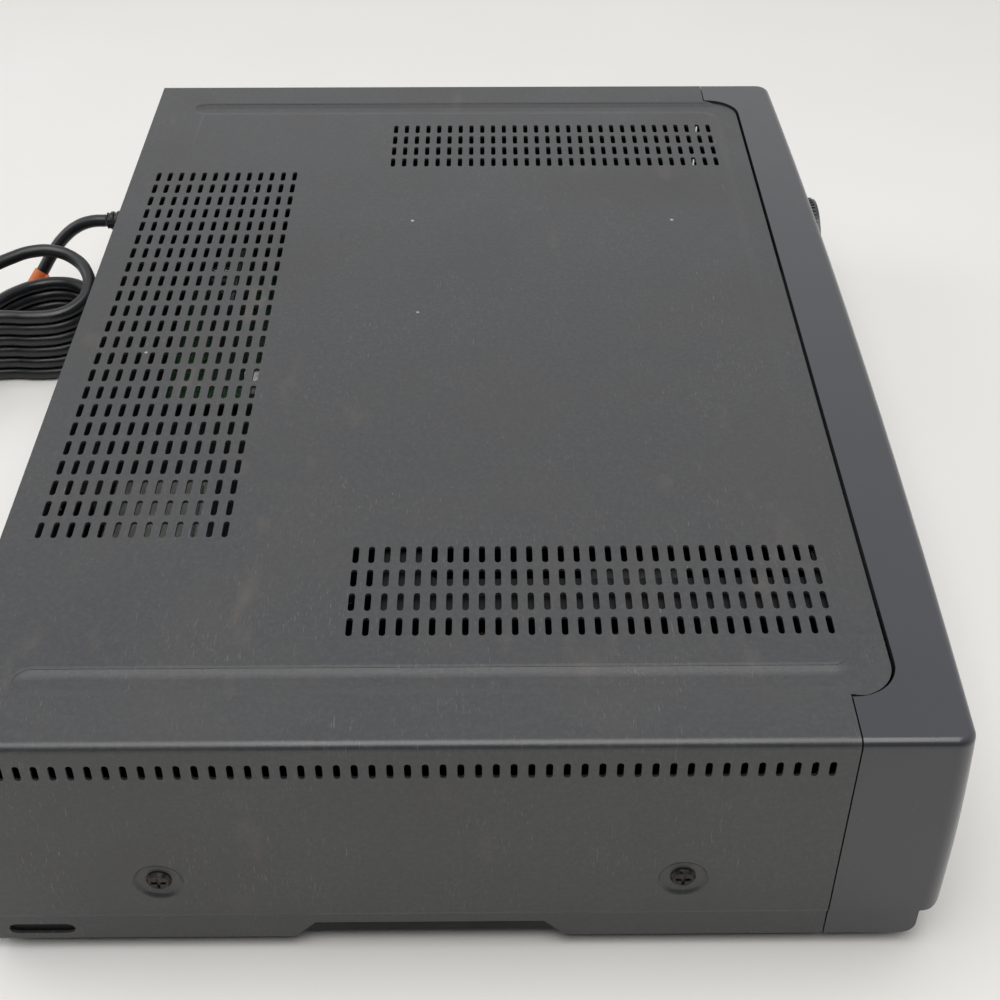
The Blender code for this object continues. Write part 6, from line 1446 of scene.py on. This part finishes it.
# %% [markdown]
# The rear carries six phono sockets and two aerial sockets. A phono socket is a nickel barrel round a
# coloured insulator with a hole for the pin; the colours tell picture from sound, as on any recorder.
# An aerial socket has a thread for the screw ring of its lead and a six-sided nut at its root.

# %% Sockets
PANEL_Y = 0.1476
SOCKET_END = 0.158
SHELL_RADIUS = 0.0042
SHELL_BORE = 0.0034
FLANGE_RADIUS = 0.0055
PIN_HOLE = 0.0016
SOCKET_X = (-0.068, -0.052)
SOCKET_ROWS = {0.066: "socket_yellow", 0.051: "socket_white", 0.036: "socket_red"}
SOCKET_COLOURS = {"socket_yellow": (206, 176, 52), "socket_white": (214, 212, 206),
                  "socket_red": (168, 44, 42)}
AERIAL_X = -0.150
AERIAL_Z = (0.044, 0.068)
THREADS = 8
THREAD_STEP = 0.00085
THREAD_RADIUS = 0.0051
NICKEL = make_metal("nickel", (186, 184, 178), 0.24, (1, 1, 20))
INSULATORS = {name: make_plain_plastic(name, colour, 0.4) for name, colour in SOCKET_COLOURS.items()}


def make_phono_socket(x, z, colour):
    shell = round_bar("shell", (x, z), SHELL_RADIUS, PANEL_Y - 0.001, SOCKET_END, "Y", 40)
    cut(shell, round_bar("bore", (x, z), SHELL_BORE, PANEL_Y, SOCKET_END + 0.001, "Y", 40))
    dress(soften(shell, 0.0003, 40, 2), NICKEL)
    flange = round_bar("flange", (x, z), FLANGE_RADIUS, PANEL_Y + 0.0001, PANEL_Y + 0.0012, "Y", 40)
    core = round_bar("core", (x, z), SHELL_BORE - 0.00005, PANEL_Y - 0.0005, SOCKET_END - 0.0012, "Y", 40)
    cut(core, round_bar("pin_hole", (x, z), PIN_HOLE, PANEL_Y, SOCKET_END + 0.001, "Y", 24))
    insulators = [dress(soften(piece, 0.00025, 40, 2), INSULATORS[colour]) for piece in (flange, core)]
    return join([shell] + insulators, "phono_socket")


body = block("socket_body", (-0.0742, 0.1344, 0.0298), (-0.0458, 0.1462, 0.0722), 0.001, "Y", 3)
parts = [dress(soften(body, 0.0003, 40, 2), SOCKET_PLASTIC)]
parts += [make_phono_socket(x, z, colour) for z, colour in SOCKET_ROWS.items() for x in SOCKET_X]
sockets = join(parts, "phono_sockets")
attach(sockets, "root")
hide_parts("jack_block")

threads = []
for z in AERIAL_Z:
    for k in range(THREADS):
        y = PANEL_Y + 0.0026 + THREAD_STEP * k
        ring = round_bar("thread", (AERIAL_X, z), THREAD_RADIUS, y, y + 0.0005, "Y", 40)
        cut(ring, round_bar("bore", (AERIAL_X, z), 0.0046, y - 0.001, y + 0.002, "Y", 40))
        threads.append(ring)
    nut = round_bar("nut", (AERIAL_X, z), 0.0070, PANEL_Y + 0.0001, PANEL_Y + 0.0021, "Y", 6)
    cut(nut, round_bar("bore", (AERIAL_X, z), 0.0047, PANEL_Y - 0.001, PANEL_Y + 0.004, "Y", 40))
    threads.append(soften(nut, 0.0003, 40, 2))
threads = dress(join(threads, "aerial_threads"), NICKEL)
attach(threads, "root")
print("sockets", count(sockets), "threads", count(threads), "triangles")

# %% [markdown]
# Small cross-head screws hold the rear panel. One is modelled and copied to its places.

# %% Panel screws
PANEL_SCREWS = ((-0.203, 0.083), (0.203, 0.083), (-0.203, 0.016), (0.203, 0.016), (0.0, 0.083),
                (-0.095, 0.016), (0.095, 0.016), (-0.108, 0.051))


def make_panel_screw():
    head = round_bar("panel_screw", (0, 0), 0.0032, PANEL_Y - 0.0004, PANEL_Y + 0.0015, "Y", 32)
    soften(head, 0.0009, 40, 3)
    for turn in (0, 1):
        wide, tall = ((0.0018, 0.0003), (0.0003, 0.0018))[turn]
        cut(head, block("cross", (-wide, PANEL_Y + 0.0006, -tall), (wide, PANEL_Y + 0.003, tall)))
    return head


first = make_panel_screw()
screws = []
for x, z in PANEL_SCREWS:
    twin = copy_of(first, "panel_screw")
    twin.location = (x, 0, z)
    screws.append(settle(twin, "panel_screw"))
bpy.data.objects.remove(first)
screws = dress(join(screws, "panel_screws"), BLACK_SCREW)
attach(screws, "root")
print("panel screws", len(PANEL_SCREWS))
